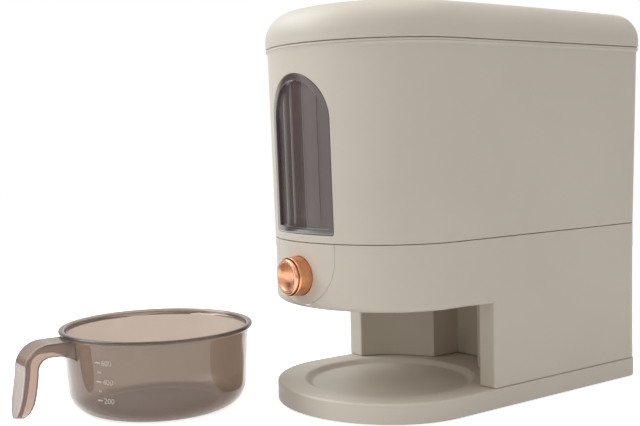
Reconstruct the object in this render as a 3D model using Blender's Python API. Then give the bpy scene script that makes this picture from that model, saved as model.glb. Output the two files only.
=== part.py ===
"""Countertop cereal dispenser with a push-button outlet and a measuring bowl.

Metres, +Z up. The round front faces -Y and +X is the right-hand side seen from the front.
The origin lies on the counter, under the centre of the half-round front of the body.
Every wall follows one D-shaped plan outline: a half ellipse in front, straight sides and
a straight rear with rounded corners. An offset moves that outline out or in.
"""

import math

import bmesh
import bpy
from mathutils import Matrix

# Plan outline of the body
BODY_HALF_WIDTH = 0.085
FRONT_REACH = 0.075
REAR_REACH = 0.2075
REAR_CORNER_RADIUS = 0.014

# Heights, stacked from the counter upwards
FOOT_GAP = 0.0012
BASE_HEIGHT = 0.0147
BAY_HEIGHT = 0.0633
SKIRT_HEIGHT = 0.0476
TANK_HEIGHT = 0.1413
LID_HEIGHT = 0.0268
LID_CROWN = 0.0034

# Gaps shared by all pieces
CLEARANCE = 0.0003
PARTING = 0.0005
OVERRUN = 0.004
WELD = 0.00001

# Base
BASE_OVERHANG = 0.0018
BASE_WALL = 0.0026
BASE_TOP_WALL = 0.0030
BASE_EDGE_RADIUS = 0.0018
TRAY_THICKNESS = 0.0020
TRAY_RECESS = 0.0006
FOOT_RADIUS = 0.008
FOOT_PLUG_RADIUS = 0.003
FOOT_PLUG_HEIGHT = 0.0016
FRONT_FOOT_INSET = 0.035
FRONT_FOOT_Y = -0.036
REAR_FOOT_INSET = 0.022

# Cup bay, dish and rear channel
BAY_CENTRE_Y = 0.0087
LEG_EDGE = 0.010
BAY_RADIUS = BODY_HALF_WIDTH - LEG_EDGE
DISH_MARGIN = 0.0085
DISH_RADIUS = BAY_RADIUS - DISH_MARGIN
DISH_SLOPE = 0.0075
DISH_FLOOR_RADIUS = DISH_RADIUS - DISH_SLOPE
DISH_DEPTH = 0.0038
LEG_FRONT_Y = 0.0371
CHANNEL_HALF_WIDTH = 0.0252
CHANNEL_REAR_Y = 0.1075

# Lower housing
HOUSING_WALL = 0.0030
CEILING_RECESS = 0.004
CEILING_THICKNESS = 0.0025
LEG_FLOOR = 0.0025
BAY_WALL = 0.0025
SKIRT_EDGE_RADIUS = 0.0045
FLANGE_THICKNESS = 0.0025
FLANGE_NARROW = 0.0055
FLANGE_WIDE = 0.0135
FLANGE_WIDENS_FROM_Y = 0.012
FLANGE_WIDENS_TO_Y = 0.045

# Window and button panel share one width, so that together they read as one pill
NOSE_HALF_WIDTH = 0.0339
PANEL_THICKNESS = 0.0016
PANEL_EDGE_ABOVE_SKIRT = 0.0019
WINDOW_SILL = 0.0058
WINDOW_HEAD = 0.0203
WINDOW_CORNER_RADIUS = 0.0022
WINDOW_FRAME = 0.0045
WINDOW_RECESS = 0.0002
WINDOW_POCKET = 0.0022
FLUTE_DEPTH = 0.0009
FLUTE_COUNT = 7
WINDOW_FLANGE_LAP = 0.0020
WINDOW_FLANGE_THICKNESS = 0.0014
WINDOW_SEAL_THICKNESS = 0.0008

# Tank
TANK_WALL = 0.0025
TANK_DRAFT = 0.0029
TANK_RIM_LIP = 0.0012
TANK_RIM_HEIGHT = 0.0020
TANK_RIM_FILLET = 0.0022
TANK_FLANGE = 0.0016

# Hopper
HOPPER_FRONT_RIM_RISE = 0.0034
HOPPER_RISES_FROM_Y = -0.060
HOPPER_REAR_RIM_RISE = 0.0732
HOPPER_WALL = 0.0020
HOPPER_RIM_THICKNESS = 0.0008
HOPPER_NECK = 0.0040

# Button, its barrel and its stem lie along Y
BUTTON_ABOVE_SKIRT = 0.0231
BARREL_RADIUS = 0.0146
BARREL_BORE = 0.0137
BARREL_PROUD = 0.0103
BARREL_LENGTH = 0.0373
BARREL_END_WALL = 0.0025
BARREL_EDGE_RADIUS = 0.0016
SLEEVE_WALL = 0.0025
SLEEVE_LENGTH = 0.0110
CAP_RADIUS = 0.0133
CAP_PROUD = 0.0017
CAP_THICKNESS = 0.0080
CAP_DISH_DEPTH = 0.0030
CAP_RIM_WIDTH = 0.0012
CAP_DISH_SHARES = ((0.0, 1.0), (0.30, 0.94), (0.48, 0.70), (0.56, 0.48), (0.72, 0.40), (0.86, 0.18))
STROKE = 0.012
STEM_RADIUS = 0.0030
STEM_SOCKET_DEPTH = 0.0030
STEM_SHOULDER_RADIUS = 0.0048
STEM_SHOULDER_LENGTH = 0.0030
STEM_TAIL = 0.0022
STEM_GROOVE_RADIUS = 0.0021
CLIP_RADIUS = 0.0046
CLIP_THICKNESS = 0.0008

# Return spring
SPRING_MEAN_RADIUS = 0.0075
SPRING_WIRE_RADIUS = 0.0006
SPRING_TURNS = 7

# Sliding gate
GATE_DROP = 0.004
GATE_LAP = 0.0005
SLOT_LENGTH = 0.054
SLIDE_THICKNESS = 0.0022
SLIDE_HALF_WIDTH = 0.031
GATE_HALF_WIDTH = 0.0385
GATE_FRONT_MARGIN = 0.0045
GATE_REAR_MARGIN = 0.018
GATE_REAR_WALL = 0.0025
GATE_FLOOR = 0.0026
GATE_COVER = 0.0022
SLIDE_TAIL = 0.0008
LUG_THICKNESS = 0.0030
LUG_HALF_WIDTH = 0.0075
LUG_TOP = 0.0040
SEAL_THICKNESS = 0.0014
MOUTH_MARGIN = 0.0005

# Outlet chute
CHUTE_FLANGE = 0.0024
CHUTE_RADIUS = 0.020
CHUTE_WALL = 0.0018
CHUTE_ABOVE_SKIRT = 0.0014

# Screws
SCREW_RADIUS = 0.0015
SCREW_HEAD_RADIUS = 0.0030
SCREW_HEAD_HEIGHT = 0.0018
SCREW_HEAD_TOP_SHARE = 0.7
BOSS_RADIUS = 0.0040
BOSS_CAP = 0.0012
BASE_SCREW_REACH = 0.0110
TANK_SCREW_REACH = 0.0095
GATE_SCREW_REACH = 0.0060
GATE_SCREW_INSET = 0.0036
TANK_SCREW_INSET = 0.0092
LEG_SCREW_INSET = 0.015
LEG_SCREW_FRONT_Y = 0.062
LEG_SCREW_REAR_INSET = 0.022
TANK_SCREW_FRONT_Y = 0.062
TANK_SCREW_REAR_INSET = 0.035

# Lid
LID_OVERHANG = 0.0015
LID_WALL = 0.0025
LID_EDGE_RADIUS = 0.0210
LID_CROWN_SHARES = (0.66, 0.33, 0.05)
LINER_GAP = 0.0008
LINER_WALL = 0.0018
LINER_DEPTH = 0.0120
LINER_PLATE = 0.0018
LINER_PLATE_RISE = 0.0012
LID_SEAL_HEIGHT = 0.0030
LID_SEAL_DEPTH = 0.0010
LID_SEAL_BELOW_RIM = 0.0050

# Measuring bowl, standing beside the dispenser
BOWL_ASIDE = 0.0140
BOWL_AHEAD = 0.0650
BOWL_X = -BODY_HALF_WIDTH - BOWL_ASIDE
BOWL_Y = -FRONT_REACH - BOWL_AHEAD
BOWL_CLEARANCE = 0.0015
BOWL_RIM_RADIUS = BAY_RADIUS - BOWL_CLEARANCE
BOWL_HEIGHT = 0.0625
BOWL_WALL = 0.0022
BOWL_LIP = 0.0030
BOWL_LIP_HEIGHT = 0.0048
BOWL_LIP_SHARES = ((0.6, -1.1), (1.0, -0.6), (1.0, -0.25), (0.7, 0.0), (0.1, 0.0))
BOWL_TAPER = 0.0027
BOWL_CORNER_RADIUS = 0.018
HANDLE_AZIMUTH = math.radians(266)
HANDLE_REACH = 0.0385
HANDLE_WIDTH = 0.0260
HANDLE_DEPTH = 0.0078
HANDLE_WALL = 0.0022
HANDLE_BEND_RADIUS = 0.0150
HANDLE_BELOW_RIM = 0.0030
HANDLE_TIP_HEIGHT = 0.0070
HANDLE_SPLAY = 0.0030
HANDLE_FALL_SHARES = (0.4, 0.7, 0.88, 1.0)
HANDLE_TIP_SHARES = (0.88, 0.62, 0.32)

# Facet counts
FRONT_STEPS = 28
CORNER_STEPS = 4
ROUND_STEPS = 28
SMALL_ROUND_STEPS = 10
PATCH_STEPS = 20
EDGE_STEPS = 3
DISH_STEPS = 6
FLUTE_STEPS = 4
BOWL_STEPS = 40
BOWL_CORNER_STEPS = 6
BEND_STEPS = 6
BAY_STEPS = 12
HOPPER_STEPS = 8
LID_STEPS = 5
LID_INSIDE_STEPS = 3
SPRING_STEPS = 10
WIRE_STEPS = 5
MOUTH_CORNER_POWER = 6
SHARP_ANGLE = math.radians(38)

# Levels worked out from the stack
BASE_TOP = FOOT_GAP + BASE_HEIGHT
SKIRT_BOTTOM = BASE_TOP + BAY_HEIGHT
SEAM = SKIRT_BOTTOM + SKIRT_HEIGHT
LID_SEAM = SEAM + TANK_HEIGHT
CEILING_UNDER = SKIRT_BOTTOM + CEILING_RECESS
CEILING_TOP = CEILING_UNDER + CEILING_THICKNESS
HOUSING_TOP = SEAM - PARTING / 2
TANK_BOTTOM = SEAM + PARTING / 2
TANK_TOP = LID_SEAM - PARTING / 2
LID_BOTTOM = LID_SEAM + PARTING / 2
FLANGE_UNDER = HOUSING_TOP - FLANGE_THICKNESS
TANK_FLANGE_TOP = TANK_BOTTOM + TANK_FLANGE
BUTTON_Z = SKIRT_BOTTOM + BUTTON_ABOVE_SKIRT
WINDOW_BOTTOM = SEAM + WINDOW_SILL
WINDOW_SPRING = LID_SEAM - WINDOW_HEAD - NOSE_HALF_WIDTH
PANEL_CENTRE_Z = SKIRT_BOTTOM + PANEL_EDGE_ABOVE_SKIRT + NOSE_HALF_WIDTH

# Gate levels and places
SLIDE_TOP = BUTTON_Z - GATE_DROP + SLIDE_THICKNESS / 2
SLIDE_BOTTOM = SLIDE_TOP - SLIDE_THICKNESS
TRAY_TOP = SLIDE_TOP + CLEARANCE
TRAY_FLOOR_TOP = SLIDE_BOTTOM - CLEARANCE
TRAY_BOTTOM = TRAY_FLOOR_TOP - GATE_FLOOR
COVER_BOTTOM = TRAY_TOP + CLEARANCE
COVER_TOP = COVER_BOTTOM + GATE_COVER
SEAL_BOTTOM = COVER_TOP + CLEARANCE
NECK_BOTTOM = SEAL_BOTTOM + SEAL_THICKNESS + CLEARANCE
MOUTH_Z = NECK_BOTTOM + HOPPER_NECK
CHUTE_TOP = TRAY_BOTTOM - CLEARANCE
CHUTE_FLANGE_BOTTOM = CHUTE_TOP - CHUTE_FLANGE
SLOT_WIDTH = STROKE - GATE_LAP
SLOT_PITCH = 2 * STROKE
MOUTH_HALF_X = SLOT_LENGTH / 2 + MOUTH_MARGIN
MOUTH_HALF_Y = (SLOT_PITCH + SLOT_WIDTH) / 2 + MOUTH_MARGIN
GATE_FRONT_Y = BAY_CENTRE_Y - MOUTH_HALF_Y - GATE_FRONT_MARGIN
GATE_REAR_Y = BAY_CENTRE_Y + MOUTH_HALF_Y + GATE_REAR_MARGIN
STEM_END_Y = GATE_FRONT_Y - CLEARANCE - STROKE
LUG_REAR_Y = STEM_END_Y - STEM_TAIL
LUG_FRONT_Y = LUG_REAR_Y - LUG_THICKNESS
SLIDE_REAR_Y = BAY_CENTRE_Y + MOUTH_HALF_Y + SLIDE_TAIL
BARREL_FRONT_Y = -FRONT_REACH - BARREL_PROUD
BARREL_REAR_Y = BARREL_FRONT_Y + BARREL_LENGTH
CAP_FRONT_Y = BARREL_FRONT_Y - CAP_PROUD
CAP_BACK_Y = CAP_FRONT_Y + CAP_THICKNESS
SCREW_HOLE_RADIUS = SCREW_RADIUS + CLEARANCE
ROUND_FULL = 2 * math.pi


def make_material(name, colour, roughness, metallic=0.0, transmission=0.0):
    """Give a Principled BSDF of one colour, in linear values."""
    material = bpy.data.materials.new(name)
    material.use_nodes = True
    shader = material.node_tree.nodes["Principled BSDF"]
    shader.inputs["Base Color"].default_value = (*colour, 1.0)
    shader.inputs["Roughness"].default_value = roughness
    shader.inputs["Metallic"].default_value = metallic
    shader.inputs["Transmission Weight"].default_value = transmission
    material.diffuse_color = (*colour, 1.0)
    return material


def at(value, place):
    """Read a size that is either a number or a function of the place."""
    return value(place) if callable(value) else value


def wall_shift(z):
    """Outward lean of the tank wall at height z."""
    return TANK_DRAFT * min(max((z - SEAM) / TANK_HEIGHT, 0), 1)


def d_stations(side_steps=1, rear_steps=1):
    """Places round the D outline, counter-clockwise from the left end of the front.

    Each is (x, y, outward x, outward y), so an offset outline is a straight shift.
    """
    places = []
    for i in range(FRONT_STEPS + 1):
        angle = -math.pi + math.pi * i / FRONT_STEPS
        c, s = math.cos(angle), math.sin(angle)
        places.append((BODY_HALF_WIDTH * c, FRONT_REACH * s, c, s))
    corner_y = REAR_REACH - REAR_CORNER_RADIUS
    corner_x = BODY_HALF_WIDTH - REAR_CORNER_RADIUS
    for i in range(1, side_steps):
        places.append((BODY_HALF_WIDTH, corner_y * i / side_steps, 1, 0))
    for i in range(CORNER_STEPS + 1):
        angle = math.pi / 2 * i / CORNER_STEPS
        c, s = math.cos(angle), math.sin(angle)
        places.append((corner_x + REAR_CORNER_RADIUS * c, corner_y + REAR_CORNER_RADIUS * s, c, s))
    for i in range(1, rear_steps):
        places.append((corner_x * (1 - 2 * i / rear_steps), REAR_REACH, 0, 1))
    for i in range(CORNER_STEPS + 1):
        angle = math.pi / 2 + math.pi / 2 * i / CORNER_STEPS
        c, s = math.cos(angle), math.sin(angle)
        places.append((-corner_x + REAR_CORNER_RADIUS * c, corner_y + REAR_CORNER_RADIUS * s, c, s))
    for i in range(1, side_steps):
        places.append((-BODY_HALF_WIDTH, corner_y * (1 - i / side_steps), -1, 0))
    return places


def d_ring(offset, height, stations=None):
    """One closed ring of points on the D outline; offset and height may depend on y."""
    ring = []
    for x, y, nx, ny in stations or d_stations():
        o = at(offset, y)
        ring.append((x + nx * o, y + ny * o, at(height, y)))
    return ring


def round_ring(radius, height, steps, centre=(0, 0)):
    """A circle of points, or one pole point where the radius is zero."""
    if radius == 0:
        return [(centre[0], centre[1], height)]
    turns = [ROUND_FULL * i / steps for i in range(steps)]
    return [(centre[0] + radius * math.cos(t), centre[1] + radius * math.sin(t), height) for t in turns]


def box_ring(half_x, half_y, height, angles, centre):
    """A rounded rectangle met by rays at the given angles, as a superellipse."""
    ring = []
    power = MOUTH_CORNER_POWER
    for angle in angles:
        c, s = math.cos(angle), math.sin(angle)
        reach = (abs(c / half_x) ** power + abs(s / half_y) ** power) ** (-1 / power)
        ring.append((centre[0] + reach * c, centre[1] + reach * s, height))
    return ring


def add_loft(mesh, rings, closed=False):
    """Skin rings of points into one closed body; a ring of one point is a pole."""
    rows = [[mesh.verts.new(point) for point in ring] for ring in rings]
    pairs = list(zip(rows, rows[1:]))
    if closed:
        pairs.append((rows[-1], rows[0]))
    for lower, upper in pairs:
        count = max(len(lower), len(upper))
        for i in range(count):
            j = (i + 1) % count
            if len(lower) == 1:
                mesh.faces.new((lower[0], upper[j], upper[i]))
            elif len(upper) == 1:
                mesh.faces.new((lower[i], lower[j], upper[0]))
            else:
                mesh.faces.new((lower[i], lower[j], upper[j], upper[i]))
    if not closed:
        for row in (rows[0], rows[-1]):
            if len(row) > 1:
                mesh.faces.new(row)


def make_object(name, mesh, material=None):
    """Turn a bmesh into a scene object with outward faces and smooth rounds."""
    bmesh.ops.recalc_face_normals(mesh, faces=mesh.faces)
    data = bpy.data.meshes.new(name)
    mesh.to_mesh(data)
    mesh.free()
    data.shade_smooth()
    data.set_sharp_from_angle(angle=SHARP_ANGLE)
    part = bpy.data.objects.new(name, data)
    bpy.context.collection.objects.link(part)
    if material:
        data.materials.append(material)
    else:
        part.hide_render = True
        part.display_type = "WIRE"
    return part


def loft(name, rings, material=None, closed=False):
    mesh = bmesh.new()
    add_loft(mesh, rings, closed)
    return make_object(name, mesh, material)


def turned(name, profile, material=None, steps=ROUND_STEPS, centres=((0, 0),), closed=False):
    """Turn a (radius, height) profile about a vertical axis at each centre."""
    mesh = bmesh.new()
    for centre in centres:
        add_loft(mesh, [round_ring(r, z, steps, centre) for r, z in profile], closed)
    return make_object(name, mesh, material)


def turned_along_y(name, profile, material=None, steps=ROUND_STEPS, closed=False):
    """Turn a (radius, y) profile about the button's axis, which runs along Y."""
    rings = []
    for radius, y in profile:
        rings.append([(a, y, BUTTON_Z + b) for a, b, _ in round_ring(radius, 0, steps)])
    return loft(name, rings, material, closed)


def box(name, low, high, material=None):
    (x0, y0, z0), (x1, y1, z1) = low, high
    corners = [(x0, y0), (x1, y0), (x1, y1), (x0, y1)]
    return loft(name, [[(x, y, z) for x, y in corners] for z in (z0, z1)], material)


def prism(name, outline, bottom, top, material=None):
    """Extrude a plan outline upwards."""
    return loft(name, [[(x, y, z) for x, y in outline] for z in (bottom, top)], material)


def front_point(x, offset, z):
    """A point on the round front wall, offset from its outer face."""
    shift = offset + wall_shift(z)
    share = x / (BODY_HALF_WIDTH + shift)
    return (x, -(FRONT_REACH + shift) * math.sqrt(1 - share * share), z)


def wall_patch(name, half_width, low, high, inner, outer, material=None, steps=PATCH_STEPS):
    """A solid that follows the round front wall between two offsets and two edge lines."""
    rings = []
    for i in range(steps + 1):
        x = -half_width * math.cos(math.pi * i / steps)
        z0, z1, near, far = (at(value, x) for value in (low, high, inner, outer))
        rings.append([front_point(x, near, z0), front_point(x, near, z1),
                      front_point(x, far, z1), front_point(x, far, z0)])
    return loft(name, rings, material)


def combine(target, other, operation):
    """One Boolean step, then a weld of the doubled points that it can leave."""
    step = target.modifiers.new(other.name, "BOOLEAN")
    step.operation = operation
    step.solver = "EXACT"
    step.object = other
    weld = target.modifiers.new("weld", "WELD")
    weld.merge_threshold = WELD


def cut(target, *cutters):
    for cutter in cutters:
        combine(target, cutter, "DIFFERENCE")


def add(target, *pieces):
    for piece in pieces:
        combine(target, piece, "UNION")


def carry(name, place, pieces):
    """Hang moving pieces on an empty that stands on their joint's axis."""
    holder = bpy.data.objects.new(name, None)
    holder.location = place
    bpy.context.collection.objects.link(holder)
    for piece in pieces:
        child = bpy.data.objects[piece]
        child.parent = holder
        child.matrix_parent_inverse = Matrix.Translation(place).inverted()


def arc(centre, radius, start, end, steps):
    """Points of an arc in the profile plane, angles in degrees."""
    points = []
    for i in range(steps + 1):
        angle = math.radians(start + (end - start) * i / steps)
        points.append((centre[0] + radius * math.cos(angle), centre[1] + radius * math.sin(angle)))
    return points


def flange_inner(y):
    """Inner offset of the bolting flanges: narrow in front, wider beside the hopper's sides."""
    share = (y - FLANGE_WIDENS_FROM_Y) / (FLANGE_WIDENS_TO_Y - FLANGE_WIDENS_FROM_Y)
    share = min(max(share, 0), 1)
    return -FLANGE_NARROW - (FLANGE_WIDE - FLANGE_NARROW) * share


def foot_places():
    rear_y = REAR_REACH - REAR_FOOT_INSET
    rear_x = BODY_HALF_WIDTH - REAR_FOOT_INSET
    front_x = BODY_HALF_WIDTH - FRONT_FOOT_INSET
    return {
        "foot_middle": (0, 0),
        "foot_front_left": (-front_x, FRONT_FOOT_Y),
        "foot_front_right": (front_x, FRONT_FOOT_Y),
        "foot_rear_left": (-rear_x, rear_y),
        "foot_rear_right": (rear_x, rear_y),
    }


def leg_screw_places():
    rear_y = REAR_REACH - LEG_SCREW_REAR_INSET
    rear_x = BODY_HALF_WIDTH - LEG_SCREW_REAR_INSET
    front_x = BODY_HALF_WIDTH - LEG_SCREW_INSET
    return [(-front_x, LEG_SCREW_FRONT_Y), (front_x, LEG_SCREW_FRONT_Y),
            (-rear_x, rear_y), (rear_x, rear_y)]


def tank_screw_places():
    side_x = BODY_HALF_WIDTH - TANK_SCREW_INSET
    rear_x = BODY_HALF_WIDTH - TANK_SCREW_REAR_INSET
    rear_y = REAR_REACH - TANK_SCREW_INSET
    return [(-side_x, TANK_SCREW_FRONT_Y), (side_x, TANK_SCREW_FRONT_Y),
            (-rear_x, rear_y), (rear_x, rear_y)]


def gate_screw_places():
    x = GATE_HALF_WIDTH - GATE_SCREW_INSET
    return [(sx * x, y) for y in (GATE_FRONT_Y + GATE_SCREW_INSET, GATE_REAR_Y - GATE_SCREW_INSET)
            for sx in (-1, 1)]


def make_screws(prefix, places, seat, length, material, up=True):
    """Pan-head screws: the head's flat face is at the seat and the shank runs up or down."""
    way = 1 if up else -1
    top = seat - way * SCREW_HEAD_HEIGHT
    profile = [(0, top), (SCREW_HEAD_RADIUS * SCREW_HEAD_TOP_SHARE, top),
               (SCREW_HEAD_RADIUS, seat - way * SCREW_HEAD_HEIGHT / 2), (SCREW_HEAD_RADIUS, seat),
               (SCREW_RADIUS, seat), (SCREW_RADIUS, seat + way * (length - SCREW_RADIUS)),
               (0, seat + way * length)]
    for number, place in enumerate(places, 1):
        turned(f"{prefix}_{number}", profile, material, SMALL_ROUND_STEPS, [place])


def hole_cutter(name, places, low, high):
    """Screw holes at several places as one cutter."""
    profile = [(0, low), (SCREW_HOLE_RADIUS, low), (SCREW_HOLE_RADIUS, high), (0, high)]
    return turned(name, profile, steps=SMALL_ROUND_STEPS, centres=places)


def make_base(plastic, rubber, steel):
    """Base plate with its round dish, the tray that closes it, and five feet."""
    r = BASE_EDGE_RADIUS
    edge = arc((BASE_OVERHANG - r, BASE_TOP - r), r, 0, 90, EDGE_STEPS)
    plate = loft("base_plate", [d_ring(BASE_OVERHANG, FOOT_GAP)] + [d_ring(o, z) for o, z in edge], plastic)
    slope = [(DISH_FLOOR_RADIUS + (DISH_RADIUS - DISH_FLOOR_RADIUS) * i / DISH_STEPS,
              BASE_TOP - DISH_DEPTH * (1 + math.cos(math.pi * i / DISH_STEPS)) / 2)
             for i in range(DISH_STEPS + 1)]
    dish = turned("dish_cutter", [(0, BASE_TOP - DISH_DEPTH)] + slope
                  + [(DISH_RADIUS, BASE_TOP + OVERRUN), (0, BASE_TOP + OVERRUN)],
                  centres=[(0, BAY_CENTRE_Y)], steps=BOWL_STEPS)
    pan_bottom = BASE_TOP - DISH_DEPTH - BASE_TOP_WALL
    hollow_top = BASE_TOP - BASE_TOP_WALL
    hollow = loft("base_hollow_cutter", [d_ring(BASE_OVERHANG - BASE_WALL, z)
                                         for z in (FOOT_GAP - OVERRUN, hollow_top)])
    pan = turned("dish_pan", [(0, pan_bottom), (DISH_RADIUS, pan_bottom), (DISH_RADIUS, hollow_top + OVERRUN),
                              (0, hollow_top + OVERRUN)], centres=[(0, BAY_CENTRE_Y)])
    cut(hollow, pan)
    holes = hole_cutter("base_screw_holes", leg_screw_places(), FOOT_GAP, BASE_TOP + OVERRUN)
    cut(plate, dish, hollow, holes)
    make_screws("base_screw", leg_screw_places(), hollow_top - CLEARANCE,
                BASE_TOP_WALL + BASE_SCREW_REACH - CLEARANCE, steel)

    tray_bottom = FOOT_GAP + TRAY_RECESS
    tray_top = tray_bottom + TRAY_THICKNESS
    tray_offset = BASE_OVERHANG - BASE_WALL - CLEARANCE
    tray = loft("base_tray", [d_ring(tray_offset, z) for z in (tray_bottom, tray_top)], plastic)
    plug_hole = FOOT_PLUG_RADIUS + CLEARANCE
    plug_holes = turned("foot_plug_holes", [(0, 0), (plug_hole, 0), (plug_hole, tray_top + OVERRUN),
                                            (0, tray_top + OVERRUN)],
                        steps=SMALL_ROUND_STEPS, centres=foot_places().values())
    cut(tray, plug_holes)
    foot_top = tray_bottom - CLEARANCE
    foot = [(0, 0), (FOOT_RADIUS, 0), (FOOT_RADIUS, foot_top), (FOOT_PLUG_RADIUS, foot_top),
            (FOOT_PLUG_RADIUS, tray_top + FOOT_PLUG_HEIGHT), (0, tray_top + FOOT_PLUG_HEIGHT)]
    for name, place in foot_places().items():
        turned(name, foot, rubber, SMALL_ROUND_STEPS, [place])


def bay_arc(radius, from_x, to_x):
    """Points on the bay's round wall, to the rear of its centre, between two x values."""
    start = math.acos(from_x / radius)
    end = math.acos(to_x / radius)
    turns = [start + (end - start) * i / BAY_STEPS for i in range(BAY_STEPS + 1)]
    return [(radius * math.cos(t), BAY_CENTRE_Y + radius * math.sin(t)) for t in turns]


def bay_rear_outline(grow):
    """The rear part of the bay in plan, from the right leg's front to the left leg's front."""
    radius = BAY_RADIUS + grow
    front_y = LEG_FRONT_Y + grow
    leg_x = math.sqrt(radius ** 2 - (front_y - BAY_CENTRE_Y) ** 2)
    half = CHANNEL_HALF_WIDTH + grow
    rear = CHANNEL_REAR_Y + grow
    return (bay_arc(radius, leg_x, half) + [(half, rear), (-half, rear)] + bay_arc(radius, -half, -leg_x))


def nose_stations():
    """The D outline from one leg's front edge round the nose to the other's."""
    front = [place for place in d_stations() if place[1] <= 0]
    side = (BODY_HALF_WIDTH, LEG_FRONT_Y, 1, 0)
    return [(-side[0], side[1], -1, 0)] + front + [side]


def make_skirt_round():
    """Cutter that rounds the skirt's lower edge round the nose."""
    r = SKIRT_EDGE_RADIUS
    section = [(-r, SKIRT_BOTTOM - OVERRUN)] + arc((-r, SKIRT_BOTTOM + r), r, -90, 0, EDGE_STEPS + 2)
    section += [(OVERRUN, SKIRT_BOTTOM + r), (OVERRUN, SKIRT_BOTTOM - OVERRUN)]
    rings = []
    for x, y, nx, ny in nose_stations():
        rings.append([(x + nx * o, y + ny * o, z) for o, z in section])
    return loft("skirt_round_cutter", rings)


def panel_low(grow):
    radius = NOSE_HALF_WIDTH + grow
    return lambda x: PANEL_CENTRE_Z - math.sqrt(max(radius ** 2 - x ** 2, 0))


def make_lower_housing(plastic):
    """Skirt, two hollow legs, rear channel, bay ceiling and bolting flange in one moulding."""
    bottom = BASE_TOP + CLEARANCE
    housing = loft("lower_housing", [d_ring(0, z) for z in (bottom, HOUSING_TOP)], plastic)

    wide = BODY_HALF_WIDTH + OVERRUN
    rear = bay_rear_outline(0)
    bay_outline = [(-wide, LEG_FRONT_Y), (-wide, -FRONT_REACH - OVERRUN), (wide, -FRONT_REACH - OVERRUN),
                   (wide, LEG_FRONT_Y)] + rear
    bay = prism("bay_cutter", bay_outline, BASE_TOP - OVERRUN, SKIRT_BOTTOM)
    inside = [(x - nx * HOUSING_WALL, y - ny * HOUSING_WALL) for x, y, nx, ny in nose_stations()]
    recess = prism("ceiling_recess_cutter", inside + rear, SKIRT_BOTTOM - OVERRUN, CEILING_UNDER)

    upper = loft("housing_hollow_cutter", [
        d_ring(-HOUSING_WALL, CEILING_TOP), d_ring(-HOUSING_WALL, FLANGE_UNDER),
        d_ring(flange_inner, FLANGE_UNDER), d_ring(flange_inner, HOUSING_TOP + OVERRUN)])
    leg_front = LEG_FRONT_Y + BAY_WALL
    inner_x = BODY_HALF_WIDTH - HOUSING_WALL
    rear_half = [(x - nx * HOUSING_WALL, y - ny * HOUSING_WALL)
                 for x, y, nx, ny in d_stations() if y > leg_front]
    leg_outline = [(inner_x, leg_front)] + rear_half + [(-inner_x, leg_front)]
    leg_outline += list(reversed(bay_rear_outline(BAY_WALL)))
    legs = prism("leg_hollow_cutter", leg_outline, bottom + LEG_FLOOR, CEILING_TOP + OVERRUN)
    cut(housing, bay, recess, upper, legs, make_skirt_round())

    sleeve_radius = BARREL_RADIUS + CLEARANCE + SLEEVE_WALL
    sleeve_front = front_point(sleeve_radius, -HOUSING_WALL, BUTTON_Z)[1] - HOUSING_WALL / 2
    sleeve_rear = sleeve_front + SLEEVE_LENGTH
    sleeve = turned_along_y("button_sleeve", [(0, sleeve_front), (sleeve_radius, sleeve_front),
                                              (sleeve_radius, sleeve_rear), (0, sleeve_rear)])
    gate_top = CHUTE_FLANGE_BOTTOM - CLEARANCE
    gate_bosses = turned("gate_bosses", [(0, CEILING_TOP - CEILING_THICKNESS / 2),
                                         (BOSS_RADIUS, CEILING_TOP - CEILING_THICKNESS / 2),
                                         (BOSS_RADIUS, gate_top), (0, gate_top)],
                         steps=SMALL_ROUND_STEPS, centres=gate_screw_places())
    base_reach = BASE_TOP + BASE_SCREW_REACH
    leg_bosses = turned("leg_bosses", [(0, bottom + LEG_FLOOR / 2), (BOSS_RADIUS, bottom + LEG_FLOOR / 2),
                                       (BOSS_RADIUS, base_reach + BOSS_CAP), (0, base_reach + BOSS_CAP)],
                        steps=SMALL_ROUND_STEPS, centres=leg_screw_places())
    add(housing, sleeve, gate_bosses, leg_bosses)

    panel_recess = wall_patch("panel_recess_cutter", NOSE_HALF_WIDTH + CLEARANCE, panel_low(CLEARANCE),
                              HOUSING_TOP + OVERRUN, -PANEL_THICKNESS - CLEARANCE, OVERRUN)
    bore = BARREL_RADIUS + CLEARANCE
    barrel_bore = turned_along_y("barrel_bore_cutter", [
        (0, -FRONT_REACH - OVERRUN), (bore, -FRONT_REACH - OVERRUN),
        (bore, sleeve_rear + OVERRUN), (0, sleeve_rear + OVERRUN)])
    hole = CHUTE_RADIUS + CHUTE_WALL + CLEARANCE
    outlet = turned("outlet_hole_cutter", [(0, CEILING_UNDER - OVERRUN), (hole, CEILING_UNDER - OVERRUN),
                                           (hole, CEILING_TOP + OVERRUN), (0, CEILING_TOP + OVERRUN)],
                    centres=[(0, BAY_CENTRE_Y)])
    gate_holes = hole_cutter("gate_pilot_cutter", gate_screw_places(), gate_top - GATE_SCREW_REACH,
                             gate_top + OVERRUN)
    leg_holes = hole_cutter("leg_pilot_cutter", leg_screw_places(), bottom - OVERRUN, base_reach)
    flange_holes = hole_cutter("flange_hole_cutter", tank_screw_places(), FLANGE_UNDER - OVERRUN,
                               HOUSING_TOP + OVERRUN)
    cut(housing, panel_recess, barrel_bore, outlet, gate_holes, leg_holes, flange_holes)


def make_front_panel(plastic):
    """The U-shaped panel round the button, flush with the skirt."""
    panel = wall_patch("front_panel", NOSE_HALF_WIDTH, panel_low(0), HOUSING_TOP, -PANEL_THICKNESS, 0,
                       plastic)
    bore = BARREL_RADIUS + CLEARANCE
    hole = turned_along_y("panel_hole_cutter", [(0, -FRONT_REACH - OVERRUN), (bore, -FRONT_REACH - OVERRUN),
                                                (bore, -FRONT_REACH + OVERRUN), (0, -FRONT_REACH + OVERRUN)])
    cut(panel, bpy.data.objects["skirt_round_cutter"], hole)


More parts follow.
